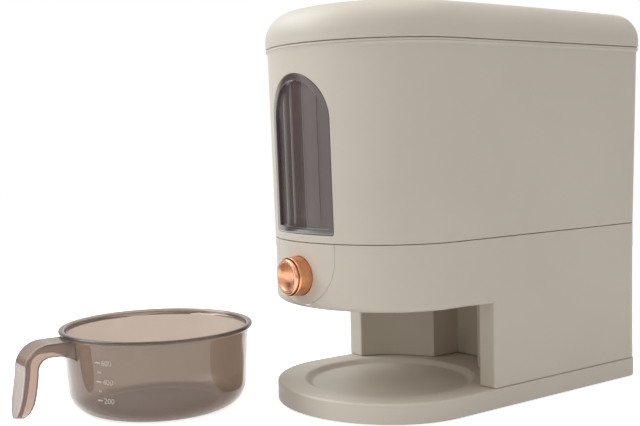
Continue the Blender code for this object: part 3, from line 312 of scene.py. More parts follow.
# Places round the outline: where each stretch of the D ends
SIDE = REAR_REACH - REAR_CORNER
CORNER_X = HALF_WIDTH - REAR_CORNER
QUARTER = math.pi / 2
SIDE_END = SIDE
RIGHT_CORNER_END = SIDE_END + QUARTER
REAR_END = RIGHT_CORNER_END + 2 * CORNER_X
LEFT_CORNER_END = REAR_END + QUARTER
OUTLINE_END = LEFT_CORNER_END + SIDE
LEG_RIGHT = LEG_FRONT
LEG_LEFT = OUTLINE_END - LEG_FRONT

# Angle from which an edge is shaded as a sharp one
SHARP = math.radians(35)


def outline(place):
    """Point (x, y) and outward direction on the D outline.

    The place is an angle over the half-ellipse front (-pi to 0), then metres up the right side, an
    angle round a rear corner, metres along the rear, an angle again, and metres down the left side.
    """
    u = np.asarray(place, float)
    stretch = [u < 0, u < SIDE_END, u < RIGHT_CORNER_END, u < REAR_END, u < LEFT_CORNER_END]
    right, left = u - SIDE_END, QUARTER + u - REAR_END
    one, none = np.ones_like(u), np.zeros_like(u)
    nx = np.select(stretch, [np.cos(u), one, np.cos(right), none, np.cos(left)], -1.0)
    ny = np.select(stretch, [np.sin(u), none, np.sin(right), one, np.sin(left)], 0.0)
    x = np.select(stretch, [HALF_WIDTH * np.cos(u), HALF_WIDTH * one, CORNER_X + REAR_CORNER * nx,
                            CORNER_X - (u - RIGHT_CORNER_END), -CORNER_X + REAR_CORNER * nx], -HALF_WIDTH)
    y = np.select(stretch, [FRONT_REACH * np.sin(u), u, SIDE + REAR_CORNER * ny,
                            REAR_REACH * one, SIDE + REAR_CORNER * ny], SIDE - (u - LEFT_CORNER_END))
    return x, y, nx, ny


def on_wall(place, offset, height):
    """Points at a place of the D outline, pushed out by the offset, at a height."""
    place, offset, height = np.broadcast_arrays(place, offset, height)
    x, y, nx, ny = outline(place)
    return np.stack([x + nx * offset, y + ny * offset, height], -1)


def front_place(x, offset):
    """Place on the front ellipse where the wall pushed out by the offset has this x."""
    return -np.arccos(np.clip(x / (HALF_WIDTH + offset), -1, 1))


def places(front, extra=()):
    """Places all round the outline: the given ones in front, even steps elsewhere, and extra ones."""
    side = np.concatenate([[0], np.linspace(0, SIDE, SIDE_POINTS)[1:-1], [SIDE - CORNER_STEP]])
    corner = np.linspace(0, QUARTER, CORNER_POINTS)
    middle = np.linspace(0, 2 * CORNER_X, REAR_POINTS)[1:-1]
    rear = np.concatenate([[CORNER_STEP], middle, [2 * CORNER_X - CORNER_STEP]])
    found = np.concatenate([front[:-1], side, SIDE_END + corner, RIGHT_CORNER_END + rear, REAR_END + corner,
                            LEFT_CORNER_END + np.sort(SIDE - side), np.asarray(extra, float)])
    found = np.unique(np.round(found, DECIMALS))
    return found[found < OUTLINE_END - CORNER_STEP / 2]


def grid(rows, columns, wrap_rows=False, wrap_columns=False):
    """Quads between neighbouring rows and columns of a grid of points, as rows of four numbers."""
    r = np.arange(rows if wrap_rows else rows - 1)
    c = np.arange(columns if wrap_columns else columns - 1)
    r, c = (m.ravel() for m in np.meshgrid(r, c, indexing="ij"))
    up, on = (r + 1) % rows, (c + 1) % columns
    return np.stack([r * columns + c, r * columns + on, up * columns + on, up * columns + c], -1)


def capped(rows, columns, inside_out=False):
    """Quads of a tube of points, closed round its columns, and one flat face at each of its two ends."""
    faces = grid(rows, columns, False, True).tolist()
    faces += [list(range(columns))[::-1], list(range((rows - 1) * columns, rows * columns))]
    return [face[::-1] for face in faces] if inside_out else faces


def join_sheets(sheets):
    """Sheets drawn over the same plane made one: points with equal numbers become one point."""
    points = np.concatenate([p for p, _ in sheets])
    starts = np.cumsum([0] + [len(p) for p, _ in sheets[:-1]])
    faces = np.concatenate([f + s for (_, f), s in zip(sheets, starts)])
    points, which = np.unique(points, axis=0, return_inverse=True)
    return points, which.reshape(-1)[faces]


def closed_wall(outer, inner, faces):
    """The outer sheet, the inner sheet turned round, and a strip along every free edge."""
    edges = np.stack([faces, np.roll(faces, -1, axis=1)], -1).reshape(-1, 2)
    count = len(outer)
    free = edges[~np.isin(edges[:, 0] * count + edges[:, 1], edges[:, 1] * count + edges[:, 0])]
    strips = np.stack([free[:, 1], free[:, 0], free[:, 0] + count, free[:, 1] + count], -1)
    return np.concatenate([outer, inner]), np.concatenate([faces, faces[:, ::-1] + count, strips])


def islands(*bodies):
    """Several closed bodies as one set of points and faces."""
    starts = np.cumsum([0] + [len(p) for p, _ in bodies[:-1]])
    return (np.concatenate([p for p, _ in bodies]),
            [list(f + s) for (_, faces), s in zip(bodies, starts) for f in map(np.asarray, faces)])


def put(name, points, faces, material, body, slot, nodes=(), bevel=0.0):
    """Make a piece: weld doubled points, shade it smooth with sharp edges, and ride it on its body."""
    mesh = bpy.data.meshes.new(name)
    faces = faces.tolist() if isinstance(faces, np.ndarray) else faces
    mesh.from_pydata(np.asarray(points, float).reshape(-1, 3).tolist(), [], faces)
    work = bmesh.new()
    work.from_mesh(mesh)
    bmesh.ops.remove_doubles(work, verts=work.verts, dist=WELD)
    bmesh.ops.dissolve_degenerate(work, dist=SLIVER, edges=work.edges)
    work.to_mesh(mesh)
    work.free()
    mesh.shade_smooth()
    mesh.set_sharp_from_angle(angle=SHARP)
    mesh.materials.append(material)
    piece = bpy.data.objects.new(name, mesh)
    bpy.context.scene.collection.objects.link(piece)
    if bevel:
        edge = piece.modifiers.new("edge", "BEVEL")
        edge.width = bevel
        edge.segments = 2
        edge.limit_method = "ANGLE"
        edge.angle_limit = SHARP
        edge.use_clamp_overlap = False
        edge.miter_outer = "MITER_ARC"
    even = piece.modifiers.new("even", "WEIGHTED_NORMAL")
    even.keep_sharp = True
    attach(piece, body)
    if nodes:
        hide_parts(*nodes)
    return piece


def arc(cx, cy, radius, start, end, steps):
    """Points of an arc about (cx, cy), angles in degrees."""
    turn = np.radians(np.linspace(start, end, steps + 1))
    return np.stack([cx + radius * np.cos(turn), cy + radius * np.sin(turn)], -1)


def soften(points, rounds=2, share=0.25):
    """Cut the corners of an open line: each point becomes two, that share in from either side."""
    points = np.asarray(points, float)
    for _ in range(rounds):
        near = (1 - share) * points[:-1] + share * points[1:]
        far = share * points[:-1] + (1 - share) * points[1:]
        points = np.concatenate([points[:1], np.stack([near, far], 1).reshape(-1, 2), points[-1:]])
    return points


def fillet(before, corner, after, reach):
    """A quadratic curve that replaces a corner, starting and ending the reach away from it."""
    before, corner, after = (np.asarray(p, float) for p in (before, corner, after))
    start = corner + reach * (before - corner) / np.linalg.norm(before - corner)
    end = corner + reach * (after - corner) / np.linalg.norm(after - corner)
    t = np.linspace(0, 1, FILLET_STEPS + 1)[:, None]
    return (1 - t) ** 2 * start + 2 * t * (1 - t) * corner + t ** 2 * end


def turned(profile, steps):
    """A (radius, height) line turned about the vertical axis: rows are profile points."""
    profile = np.asarray(profile, float)
    turn = np.arange(steps) * 2 * math.pi / steps
    r, z = profile[:, :1], profile[:, 1:]
    points = np.stack([r * np.cos(turn), r * np.sin(turn), z + 0 * turn], -1)
    return points, grid(len(profile), steps, False, True)


def rectangle(left_to_right, low_to_high):
    """The nodes round a rectangle of grid lines, counter-clockwise from the middle of its lower edge."""
    u, z = left_to_right, low_to_high
    mid = len(u) // 2
    pairs = [(u[mid:-1], z[:1]), (u[-1:], z[:-1]), (u[::-1][:-1], z[-1:]), (u[:1], z[::-1][:-1]),
             (u[:mid], z[:1])]
    return np.concatenate([np.stack(np.broadcast_arrays(a, b), -1) for a, b in pairs])


def even_points(line, cost, count, closed):
    """Points spaced evenly by cost along a finely drawn line."""
    total = np.concatenate([[0], np.cumsum(cost)])
    goal = np.linspace(0, total[-1], count, endpoint=not closed)
    return np.stack([np.interp(goal, total, line[:, k]) for k in (0, 1)], -1)


def arch(half, spring, bottom, corner, count):
    """Arched opening, counter-clockwise from the middle of its sill: the sill, a small corner arc, the
    upright side, a half circle and back down; the corner arcs take more points for their length."""
    corner = max(corner, WINDOW_CORNER_LEAST)
    sill = np.stack([np.linspace(0, half - corner, SILL_LINE_POINTS), np.full(SILL_LINE_POINTS, bottom)], -1)
    turn = arc(half - corner, bottom + corner, corner, -90, 0, CORNER_LINE_STEPS)
    height = np.linspace(bottom + corner, spring, UPRIGHT_LINE_POINTS)
    side = np.stack([np.full(UPRIGHT_LINE_POINTS, half), height], -1)
    head = arc(0, spring, half, 0, 90, HEAD_LINE_STEPS)
    right = np.concatenate([sill, turn[1:], side[1:], head[1:]])
    left = right[::-1] * (-1, 1)
    line = np.concatenate([right, left[1:]])
    step = np.linalg.norm(np.diff(line, axis=0), axis=1)
    bend = np.abs(np.diff(line, axis=0)[:, 0] * np.diff(line, axis=0)[:, 1]) > 0
    near_corner = bend & (line[1:, 1] < bottom + corner * CORNER_LINE_REACH)
    cost = step + near_corner * CORNER_LINE_COST
    return even_points(line, cost, count, True)


def mixed(first, last, shares):
    """Rows between two lines with the same number of points; a share of 1 is exactly the last line."""
    rows = [first * (1 - s) + last * s if s < 1 else last for s in shares]
    return np.stack(rows)


def between(first, last, shares):
    """Sheet between a hole's line and the surrounding grid lines, each point with its share as third."""
    rows = mixed(first, last, shares)
    third = np.broadcast_to(np.asarray(shares, float)[:, None, None], rows.shape[:2] + (1,))
    return np.concatenate([rows, third], -1)


def masked_grid(u, z, left, right, low, high):
    """All the quads round the outline and up it, save those inside the rectangle a hole takes."""
    height, place = np.meshgrid(z, u, indexing="ij")
    points = np.stack([place, height, np.ones_like(place)], -1).reshape(-1, 3)
    faces = grid(len(z), len(u), False, True)
    first, second, third = (points[faces[:, k]] for k in (0, 1, 2))
    inside = ((first[:, 0] > left - SAME_NODE) & (second[:, 0] < right + SAME_NODE) & (second[:, 0] > left)
              & (first[:, 1] > low - SAME_NODE) & (third[:, 1] < high + SAME_NODE))
    return points, faces[~inside]


def front_places(turn, steps):
    """Places in front: a span of fine steps, the turn to either side of the middle, and even steps beside
    it. Returns all of them, and the first and last of the span."""
    left, right = -QUARTER - turn, -QUARTER + turn
    found = np.round(np.concatenate([np.linspace(-math.pi, left, BESIDE_POINTS)[:-1],
                                     np.linspace(left, right, steps + 1),
                                     np.linspace(right, 0, BESIDE_POINTS)[1:]]), DECIMALS)
    return found, found[BESIDE_POINTS - 1], found[BESIDE_POINTS - 1 + steps]


def within(values, low, high):
    """The values from the low one to the high one, both included."""
    return values[(values > low - SAME) & (values < high + SAME)]


# The standard screen curve: where its straight part ends, that part's slope, then its power and shift
CURVE_END, CURVE_SLOPE, CURVE_POWER, CURVE_SHIFT = 0.04045, 12.92, 2.4, 0.055
WHITE = 255


def linear(red, green, blue):
    """A colour written in the usual 0 to 255 numbers, as linear light, by the standard screen curve."""
    share = np.array([red, green, blue]) / WHITE
    curved = ((share + CURVE_SHIFT) / (1 + CURVE_SHIFT)) ** CURVE_POWER
    light = np.where(share <= CURVE_END, share / CURVE_SLOPE, curved)
    return (*light.tolist(), 1.0)


# Where the clouds' ramp starts and ends, as shares of the noise's range
CLOUD_SHARES = (0.35, 0.65)


def blank(name):
    """A new material with its node tree and shader."""
    material = bpy.data.materials.new(name)
    material.use_nodes = True
    return material, material.node_tree, material.node_tree.nodes["Principled BSDF"]


def grain(tree, shader, scale, strength, distance, detail=4.0, stretch=(1, 1, 1)):
    """Fine surface relief: noise on the object's own coordinates drives a bump."""
    where = tree.nodes.new("ShaderNodeTexCoord")
    place = tree.nodes.new("ShaderNodeMapping")
    place.inputs["Scale"].default_value = stretch
    noise = tree.nodes.new("ShaderNodeTexNoise")
    noise.inputs["Scale"].default_value = scale
    noise.inputs["Detail"].default_value = detail
    noise.inputs["Roughness"].default_value = 0.6
    bump = tree.nodes.new("ShaderNodeBump")
    bump.inputs["Strength"].default_value = strength
    bump.inputs["Distance"].default_value = distance
    tree.links.new(where.outputs["Object"], place.inputs["Vector"])
    tree.links.new(place.outputs["Vector"], noise.inputs["Vector"])
    tree.links.new(noise.outputs["Fac"], bump.inputs["Height"])
    tree.links.new(bump.outputs["Normal"], shader.inputs["Normal"])
    return where


def clouds(tree, shader, where, socket, scale, low, high):
    """Slow variation over the piece: noise through a ramp from one colour or value to another."""
    noise = tree.nodes.new("ShaderNodeTexNoise")
    noise.inputs["Scale"].default_value = scale
    noise.inputs["Detail"].default_value = 3.0
    ramp = tree.nodes.new("ShaderNodeValToRGB")
    first, last = ramp.color_ramp.elements
    first.position, last.position = CLOUD_SHARES
    first.color, last.color = low, high
    tree.links.new(where.outputs["Object"], noise.inputs["Vector"])
    tree.links.new(noise.outputs["Fac"], ramp.inputs["Fac"])
    tree.links.new(ramp.outputs["Color"], shader.inputs[socket])


def grey(value):
    """The same value in all three channels."""
    return (value, value, value, 1.0)


# How far the roughness wanders below and above its value
PLASTIC_BELOW, PLASTIC_ABOVE = 0.03, 0.04
METAL_BELOW, METAL_ABOVE = 0.03, 0.05


def moulded(name, dark, light, roughness, relief, specular=0.5):
    """Opaque moulded plastic: a fine spark-eroded grain and a faint unevenness of colour and gloss."""
    material, tree, shader = blank(name)
    where = grain(tree, shader, scale=1900.0, strength=relief, distance=0.0002)
    clouds(tree, shader, where, "Base Color", scale=9.0, low=linear(*dark), high=linear(*light))
    clouds(tree, shader, where, "Roughness", scale=24.0, low=grey(roughness - PLASTIC_BELOW),
           high=grey(roughness + PLASTIC_ABOVE))
    shader.inputs["Specular IOR Level"].default_value = specular
    return material


def smoky(name, tint_dark, tint_light, transmission, roughness, relief, depth_tint, density, specular):
    """Smoky clear plastic: tinted at its surface, and darker where light passes through more of it."""
    material, tree, shader = blank(name)
    where = grain(tree, shader, scale=60.0, strength=relief, distance=0.0004, detail=2.0)
    clouds(tree, shader, where, "Base Color", scale=14.0, low=linear(*tint_dark), high=linear(*tint_light))
    shader.inputs["Roughness"].default_value = roughness
    shader.inputs["Transmission Weight"].default_value = transmission
    shader.inputs["IOR"].default_value = 1.49
    shader.inputs["Specular IOR Level"].default_value = specular
    absorb = tree.nodes.new("ShaderNodeVolumeAbsorption")
    absorb.inputs["Color"].default_value = linear(*depth_tint)
    absorb.inputs["Density"].default_value = density
    tree.links.new(absorb.outputs["Volume"], tree.nodes["Material Output"].inputs["Volume"])
    return material


def metal(name, dark, light, roughness, relief, scale, stretch=(1, 1, 1)):
    """Metal or metal plating with fine wear in its gloss."""
    material, tree, shader = blank(name)
    shader.inputs["Metallic"].default_value = 1.0
    where = grain(tree, shader, scale=scale, strength=relief, distance=0.0001, stretch=stretch)
    clouds(tree, shader, where, "Base Color", scale=60.0, low=linear(*dark), high=linear(*light))
    clouds(tree, shader, where, "Roughness", scale=130.0, low=grey(roughness - METAL_BELOW),
           high=grey(roughness + METAL_ABOVE))
    return material


def tinted_past(material, low, high, tint):
    """Tint the part of a piece past a height, above it or, if the first height is the larger, below it."""
    tree = material.node_tree
    shader = tree.nodes["Principled BSDF"]
    plain = shader.inputs["Base Color"].links[0].from_socket
    where = tree.nodes.new("ShaderNodeTexCoord")
    split = tree.nodes.new("ShaderNodeSeparateXYZ")
    ramp = tree.nodes.new("ShaderNodeMapRange")
    ramp.inputs["From Min"].default_value = low
    ramp.inputs["From Max"].default_value = high
    mix = tree.nodes.new("ShaderNodeMix")
    mix.data_type = "RGBA"
    mix.inputs["B"].default_value = linear(*tint)
    tree.links.new(where.outputs["Object"], split.inputs[0])
    tree.links.new(split.outputs["Z"], ramp.inputs["Value"])
    tree.links.new(ramp.outputs["Result"], mix.inputs["Factor"])
    tree.links.new(plain, mix.inputs["A"])
    tree.links.new(mix.outputs["Result"], shader.inputs["Base Color"])


greige = moulded("greige_plastic", (204, 194, 179), (208, 198, 183), roughness=0.45, relief=0.10)
pure_white = moulded("white_plastic", (233, 230, 223), (238, 236, 230), roughness=0.42, relief=0.06)
rubber = moulded("soft_rubber", (74, 72, 70), (86, 84, 82), roughness=0.80, relief=0.30, specular=0.3)
rose_gold = metal("rose_gold", (226, 160, 124), (233, 169, 133), roughness=0.24, relief=0.02, scale=900.0)
satin_gold = metal("satin_rose_gold", (218, 150, 109), (225, 159, 118), roughness=0.30, relief=0.04,
                   scale=900.0)
steel = metal("plain_steel", (176, 176, 178), (192, 192, 194), roughness=0.30, relief=0.08, scale=700.0,
              stretch=(1, 1, 6))

SMOKE_DEPTH = (150, 132, 118)
bowl_smoke = smoky("smoky_bowl", (187, 171, 158), (193, 177, 164), transmission=0.80, roughness=0.02,
                   relief=0.02, depth_tint=SMOKE_DEPTH, density=75.0, specular=0.1)
handle_smoke = smoky("smoky_handle", (210, 182, 164), (216, 188, 170), transmission=0.80, roughness=0.07,
                     relief=0.05, depth_tint=SMOKE_DEPTH, density=180.0, specular=0.1)
mark_smoke = smoky("smoky_marks", (226, 212, 201), (231, 217, 206), transmission=0.20, roughness=0.20,
                   relief=0.05, depth_tint=SMOKE_DEPTH, density=85.0, specular=0.5)
window_smoke = smoky("smoky_window", (102, 87, 84), (110, 95, 92), transmission=0.25, roughness=0.10,
                     relief=0.05, depth_tint=(140, 120, 115), density=400.0, specular=0.75)
window_shader = window_smoke.node_tree.nodes["Principled BSDF"]
window_shader.inputs["Coat Weight"].default_value = 1.0
window_shader.inputs["Coat Roughness"].default_value = 0.06

# Painted shade: the bowl's lip is painted darker where light goes through more plastic, and its floor darker
# for the shadow under the bowl seen through it
tinted_past(bowl_smoke, BOWL_HEIGHT - LIP_PAINTED_SHADE[0], BOWL_HEIGHT - LIP_PAINTED_SHADE[1], (145, 128, 117))
tinted_past(bowl_smoke, BOWL_WALL + FLOOR_PAINTED_SHADE[0], BOWL_WALL + FLOOR_PAINTED_SHADE[1], (138, 113, 95))


def tank_draft(z):
    """How far the tank's wall has leant out at a height: evenly from none at the seam to all at the lid."""
    return TANK_DRAFT * np.clip((z - SEAM) / (LID_SEAM - SEAM), 0, 1)


def tank_offset(z):
    """Outward place of the tank's outer face: the draft, and a flare with a power up to the lip under
    the lid."""
    top = LID_SEAM - PARTING / 2
    lip = top - RIM_HEIGHT
    flare = np.clip((z - (lip - RIM_FILLET)) / RIM_FILLET, 0, 1)
    return tank_draft(z) + RIM_LIP * flare ** RIM_FLARE_POWER


def inner_face(place, height, share, outer, inner):
    """Inner face of a wall, from the places of the outer one and both offsets. Beside a hole a point moves
    from its own place to the one with the outer point's x, by how near the hole its share says it is."""
    same_x = front_place((HALF_WIDTH + outer) * np.cos(place), inner)
    place = np.where(share < 1, share * place + (1 - share) * same_x, place)
    return on_wall(place, inner, height)


def make_tank():
    """Tank wall over (place, height), with a finer collar of rows round the arched opening. The inner
    face is the same sheet pushed in by the wall, and near the opening it keeps the outer face's x."""
    low, high = SEAM + PARTING / 2, LID_SEAM - PARTING / 2
    front, first, last = front_places(WINDOW_COLLAR_TURN, WINDOW_COLLAR_STEPS)
    u = places(front)
    lip = high - RIM_HEIGHT
    z_low, z_high = round(low + WINDOW_COLLAR_BOTTOM, DECIMALS), WINDOW_COLLAR_TOP
    z = np.unique(np.round(np.concatenate([
        [low, low + TANK_EDGE_ROW], np.linspace(z_low, z_high, WINDOW_COLLAR_ROWS),
        np.linspace(z_high, lip - RIM_FILLET, ABOVE_COLLAR_ROWS),
        np.linspace(lip - RIM_FILLET, lip, RIM_ROWS),
        [lip + RIM_ROW, high - TANK_EDGE_ROW, high]]), DECIMALS))
    window_places, z_window = within(u, first, last), within(z, z_low, z_high)
    frame_line = rectangle(window_places, z_window)
    hole = arch(NOSE_HALF, WINDOW_SPRING, WINDOW_BOTTOM, WINDOW_CORNER, len(frame_line))
    hole = np.stack([front_place(hole[:, 0], tank_offset(hole[:, 1])), hole[:, 1]], -1)
    collar = between(hole, frame_line, WINDOW_COLLAR_SHARES)
    main = masked_grid(u, z, window_places[0], window_places[-1], z_window[0], z_window[-1])
    around = grid(len(WINDOW_COLLAR_SHARES), len(frame_line), False, True)[:, ::-1]
    sheet, faces = join_sheets([(collar.reshape(-1, 3), around), main])
    place, height, share = sheet.T
    offset = tank_offset(height)
    outer = on_wall(place, offset, height)
    inner = inner_face(place, height, share, offset, tank_draft(height) - TANK_WALL)
    put("tank_wall", *closed_wall(outer, inner, faces), greige, "housing", "greige", ["tank_shell"],
        TANK_BEVEL)


def skirt_offset(z, place=0.0):
    """Outward place of the skirt round the nose: a quarter round at its lower edge, which fades out
    with a smooth step over the last stretch of the sides before the legs."""
    rise = np.clip(SKIRT_BOTTOM + SKIRT_EDGE - z, 0, SKIRT_EDGE)
    place = np.asarray(place, float)
    along = np.where(place > LEG_LEFT / 2, OUTLINE_END - place, place)
    left = np.clip((LEG_FRONT - along) / SKIRT_FADE, 0, 1)
    return (-SKIRT_EDGE + np.sqrt(SKIRT_EDGE ** 2 - rise ** 2)) * left * left * (3 - 2 * left)


def nose_line(half, top, count):
    """The U line from its upper left end down round and up to its upper right end."""
    height = np.linspace(top, PANEL_CENTRE_Z, NOSE_SIDE_LINE_POINTS)
    side = np.stack([np.full(NOSE_SIDE_LINE_POINTS, -half), height], -1)
    turn = arc(0, PANEL_CENTRE_Z, half, 180, 360, NOSE_TURN_LINE_STEPS)
    line = np.concatenate([side, turn[1:], (side[::-1] * (-1, 1))[1:]])
    return even_points(line, np.linalg.norm(np.diff(line, axis=0), axis=1), count, False)


def make_skirt():
    """Upper band of the housing: the wall over (place, height) with a U left out for the button panel.
    Over the legs its foot is square and meets them; round the nose it is rounded and ends in the air."""
    top = SEAM - PARTING / 2
    front, first, last = front_places(PANEL_COLLAR_TURN, PANEL_COLLAR_STEPS)
    near_leg = LEG_FRONT - np.linspace(LEG_NEAR, SKIRT_FADE, NEAR_LEG_POINTS)
    u = places(front, [LEG_RIGHT, LEG_RIGHT + DOUBLED, LEG_LEFT, LEG_LEFT - DOUBLED, *near_leg,
                       *(OUTLINE_END - near_leg)])
    turn = np.linspace(SKIRT_EDGE_START, QUARTER, SKIRT_EDGE_ROWS)
    z = np.concatenate([SKIRT_BOTTOM + SKIRT_EDGE * (1 - np.cos(turn)),
                        np.linspace(SKIRT_BOTTOM + SKIRT_EDGE, top, SKIRT_ROWS)])
    z = np.unique(np.round(z, DECIMALS))
    z[0] = SKIRT_FOOT
    span = within(u, first, last)
    edge = np.concatenate([np.stack(np.broadcast_arrays(span[:1], z[::-1][:-1]), -1),
                           np.stack(np.broadcast_arrays(span, z[:1]), -1),
                           np.stack(np.broadcast_arrays(span[-1:], z[1:]), -1)])
    line = nose_line(NOSE_HALF + CLEARANCE, top, len(edge))
    line = np.stack([front_place(line[:, 0], skirt_offset(line[:, 1])), line[:, 1]], -1)
    line[[0, -1], 1] = z[-1]
    collar = between(line, edge, PANEL_COLLAR_SHARES)
    faces = grid(len(PANEL_COLLAR_SHARES), len(edge))[:, ::-1]
    main = masked_grid(u, z, span[0], span[-1], z[0], z[-1])
    sheet, faces = join_sheets([(collar.reshape(-1, 3), faces), main])
    place, height, share = sheet.T
    leg = (place > LEG_RIGHT + DOUBLED / 2) & (place < LEG_LEFT - DOUBLED / 2)
    offset = np.where(leg, 0.0, skirt_offset(height, place))
    stretched = SKIRT_BOTTOM + (height - SKIRT_FOOT) * (top - SKIRT_BOTTOM) / (top - SKIRT_FOOT)
    height = np.where(leg, stretched, height)
    inner = inner_face(place, height, share, offset, -WALL)
    return closed_wall(on_wall(place, offset, height), inner, faces)


def bay_plan():
    """The C-shaped plan of both legs: outside round the rear, then the bay's arcs and the channel.
    Returns the points and a mask of those on the outer wall."""
    leg_x = math.sqrt(BAY_RADIUS ** 2 - (LEG_FRONT - DISH_Y) ** 2)
    channel_y = DISH_Y + math.sqrt(BAY_RADIUS ** 2 - CHANNEL_HALF ** 2)
    u = places(np.array([-math.pi, 0.0]))
    u = u[(u > LEG_RIGHT + LEG_MARGIN) & (u < LEG_LEFT - LEG_MARGIN)]
    x, y, _, _ = outline(u)
    outer = np.stack([x, y], -1)
    start = math.degrees(math.asin((LEG_FRONT - DISH_Y) / BAY_RADIUS))
    end = math.degrees(math.acos(CHANNEL_HALF / BAY_RADIUS))
    right = arc(0, DISH_Y, BAY_RADIUS, start, end, BAY_STEPS)
    left = right * (-1, 1)
    side, front, channel, rear = HALF_WIDTH, LEG_FRONT, CHANNEL_HALF, CHANNEL_REAR
    inner = np.concatenate([
        fillet((-side, front + 1), (-side, front), (0, front), LEG_EDGE),
        fillet((-side, front), (-leg_x, front), left[1], BAY_EDGE),
        left[1:-1],
        fillet(left[-2], (-channel, channel_y), (-channel, rear), CHANNEL_EDGE),
        fillet((-channel, channel_y), (-channel, rear), (0, rear), CHANNEL_CORNER),
        fillet((0, rear), (channel, rear), (channel, channel_y), CHANNEL_CORNER),
        fillet((channel, rear), (channel, channel_y), right[-2], CHANNEL_EDGE),
        right[1:-1][::-1],
        fillet(right[1], (leg_x, front), (side, front), BAY_EDGE),
        fillet((0, front), (side, front), (side, front + 1), LEG_EDGE)])
    points = np.concatenate([outer, inner])
    outside = np.zeros(len(points), bool)
    outside[:len(outer)] = True
    outside[np.abs(points[:, 0]) > HALF_WIDTH - OUTER_BAND] = True
    return points, outside


def make_legs():
    """Both legs and the rear as one upright prism: the plan line carried up through (offset, height) rows.
    Its top tier stands inside the skirt's wall, so only the outer points step in there. A hair's gap
    under the skirt keeps the two shells from being welded."""
    plan, outside = bay_plan()
    along = np.roll(plan, -1, axis=0) - np.roll(plan, 1, axis=0)
    along /= np.linalg.norm(along, axis=1)[:, None]
    out = np.stack([along[:, 1], -along[:, 0]], -1)
    bottom = BASE_TOP + CLEARANCE
    shoulder = SKIRT_BOTTOM - HAIR
    rows = [(offset, bottom + rise, 1) for offset, rise in LEG_FOOT]
    rows += [(0, shoulder, 1), (-WALL, shoulder, 0), (-WALL, CEILING_UNDER, 0)]
    rings = []
    for offset, height, everywhere in rows:
        shift = np.where(outside, offset, offset * everywhere)[:, None] * out
        rings.append(np.concatenate([plan + shift, np.full((len(plan), 1), height)], -1))
    return np.concatenate(rings), capped(len(rows), len(plan))


def make_ceiling():
    """The bay's ceiling: a ring from the outlet's hole out to the skirt, each ray at one angle."""
    u = places(np.linspace(-math.pi, 0, CEILING_POINTS))
    edge = on_wall(u, CLEARANCE - WALL, 0.0)[:, :2]
    turn = np.arctan2(edge[:, 1] - DISH_Y, edge[:, 0])
    hole = np.stack([OUTLET_HOLE * np.cos(turn), DISH_Y + OUTLET_HOLE * np.sin(turn)], -1)
    rows = mixed(hole, edge, CEILING_SHARES)
    faces = grid(len(rows), len(u), False, True)
    flat = rows.reshape(-1, 2)
    high = np.concatenate([flat, np.full((len(flat), 1), CEILING_TOP)], -1)
    low = np.concatenate([flat, np.full((len(flat), 1), CEILING_UNDER)], -1)
    return closed_wall(high, low, faces[:, ::-1])


def make_housing():
    """Lower housing: skirt, legs and ceiling as three closed shells in one piece."""
    put("lower_housing_moulding", *islands(make_skirt(), make_legs(), make_ceiling()), greige, "housing",
        "greige", ["lower_housing"])


def make_panel():
    """Button panel: rings between the round hole and the U, over (x, height) on the nose."""
    top = SEAM - PARTING / 2
    line = nose_line(NOSE_HALF, top, PANEL_LINE_POINTS)
    across = np.linspace(NOSE_HALF, -NOSE_HALF, PANEL_TOP_POINTS + 2)[1:-1]
    across = np.stack([across, np.full(PANEL_TOP_POINTS, top)], -1)
    edge = np.concatenate([line, across])
    turn = np.arctan2(edge[:, 1] - BUTTON_Z, edge[:, 0])
    bore = BARREL_RADIUS + CLEARANCE
    hole = np.stack([bore * np.cos(turn), BUTTON_Z + bore * np.sin(turn)], -1)
    rows = mixed(hole, edge, PANEL_SHARES)
    x, z = rows.reshape(-1, 2).T

    def face(offset):
        share = x / (HALF_WIDTH + offset)
        return np.stack([x, -(FRONT_REACH + offset) * np.sqrt(1 - share ** 2), z], -1)
    faces = grid(len(rows), len(edge), False, True)[:, ::-1]
    shell = closed_wall(face(skirt_offset(z)), face(-PANEL_THICKNESS), faces)
    put("button_panel", *shell, greige, "housing", "greige", ["front_panel"], PANEL_BEVEL)


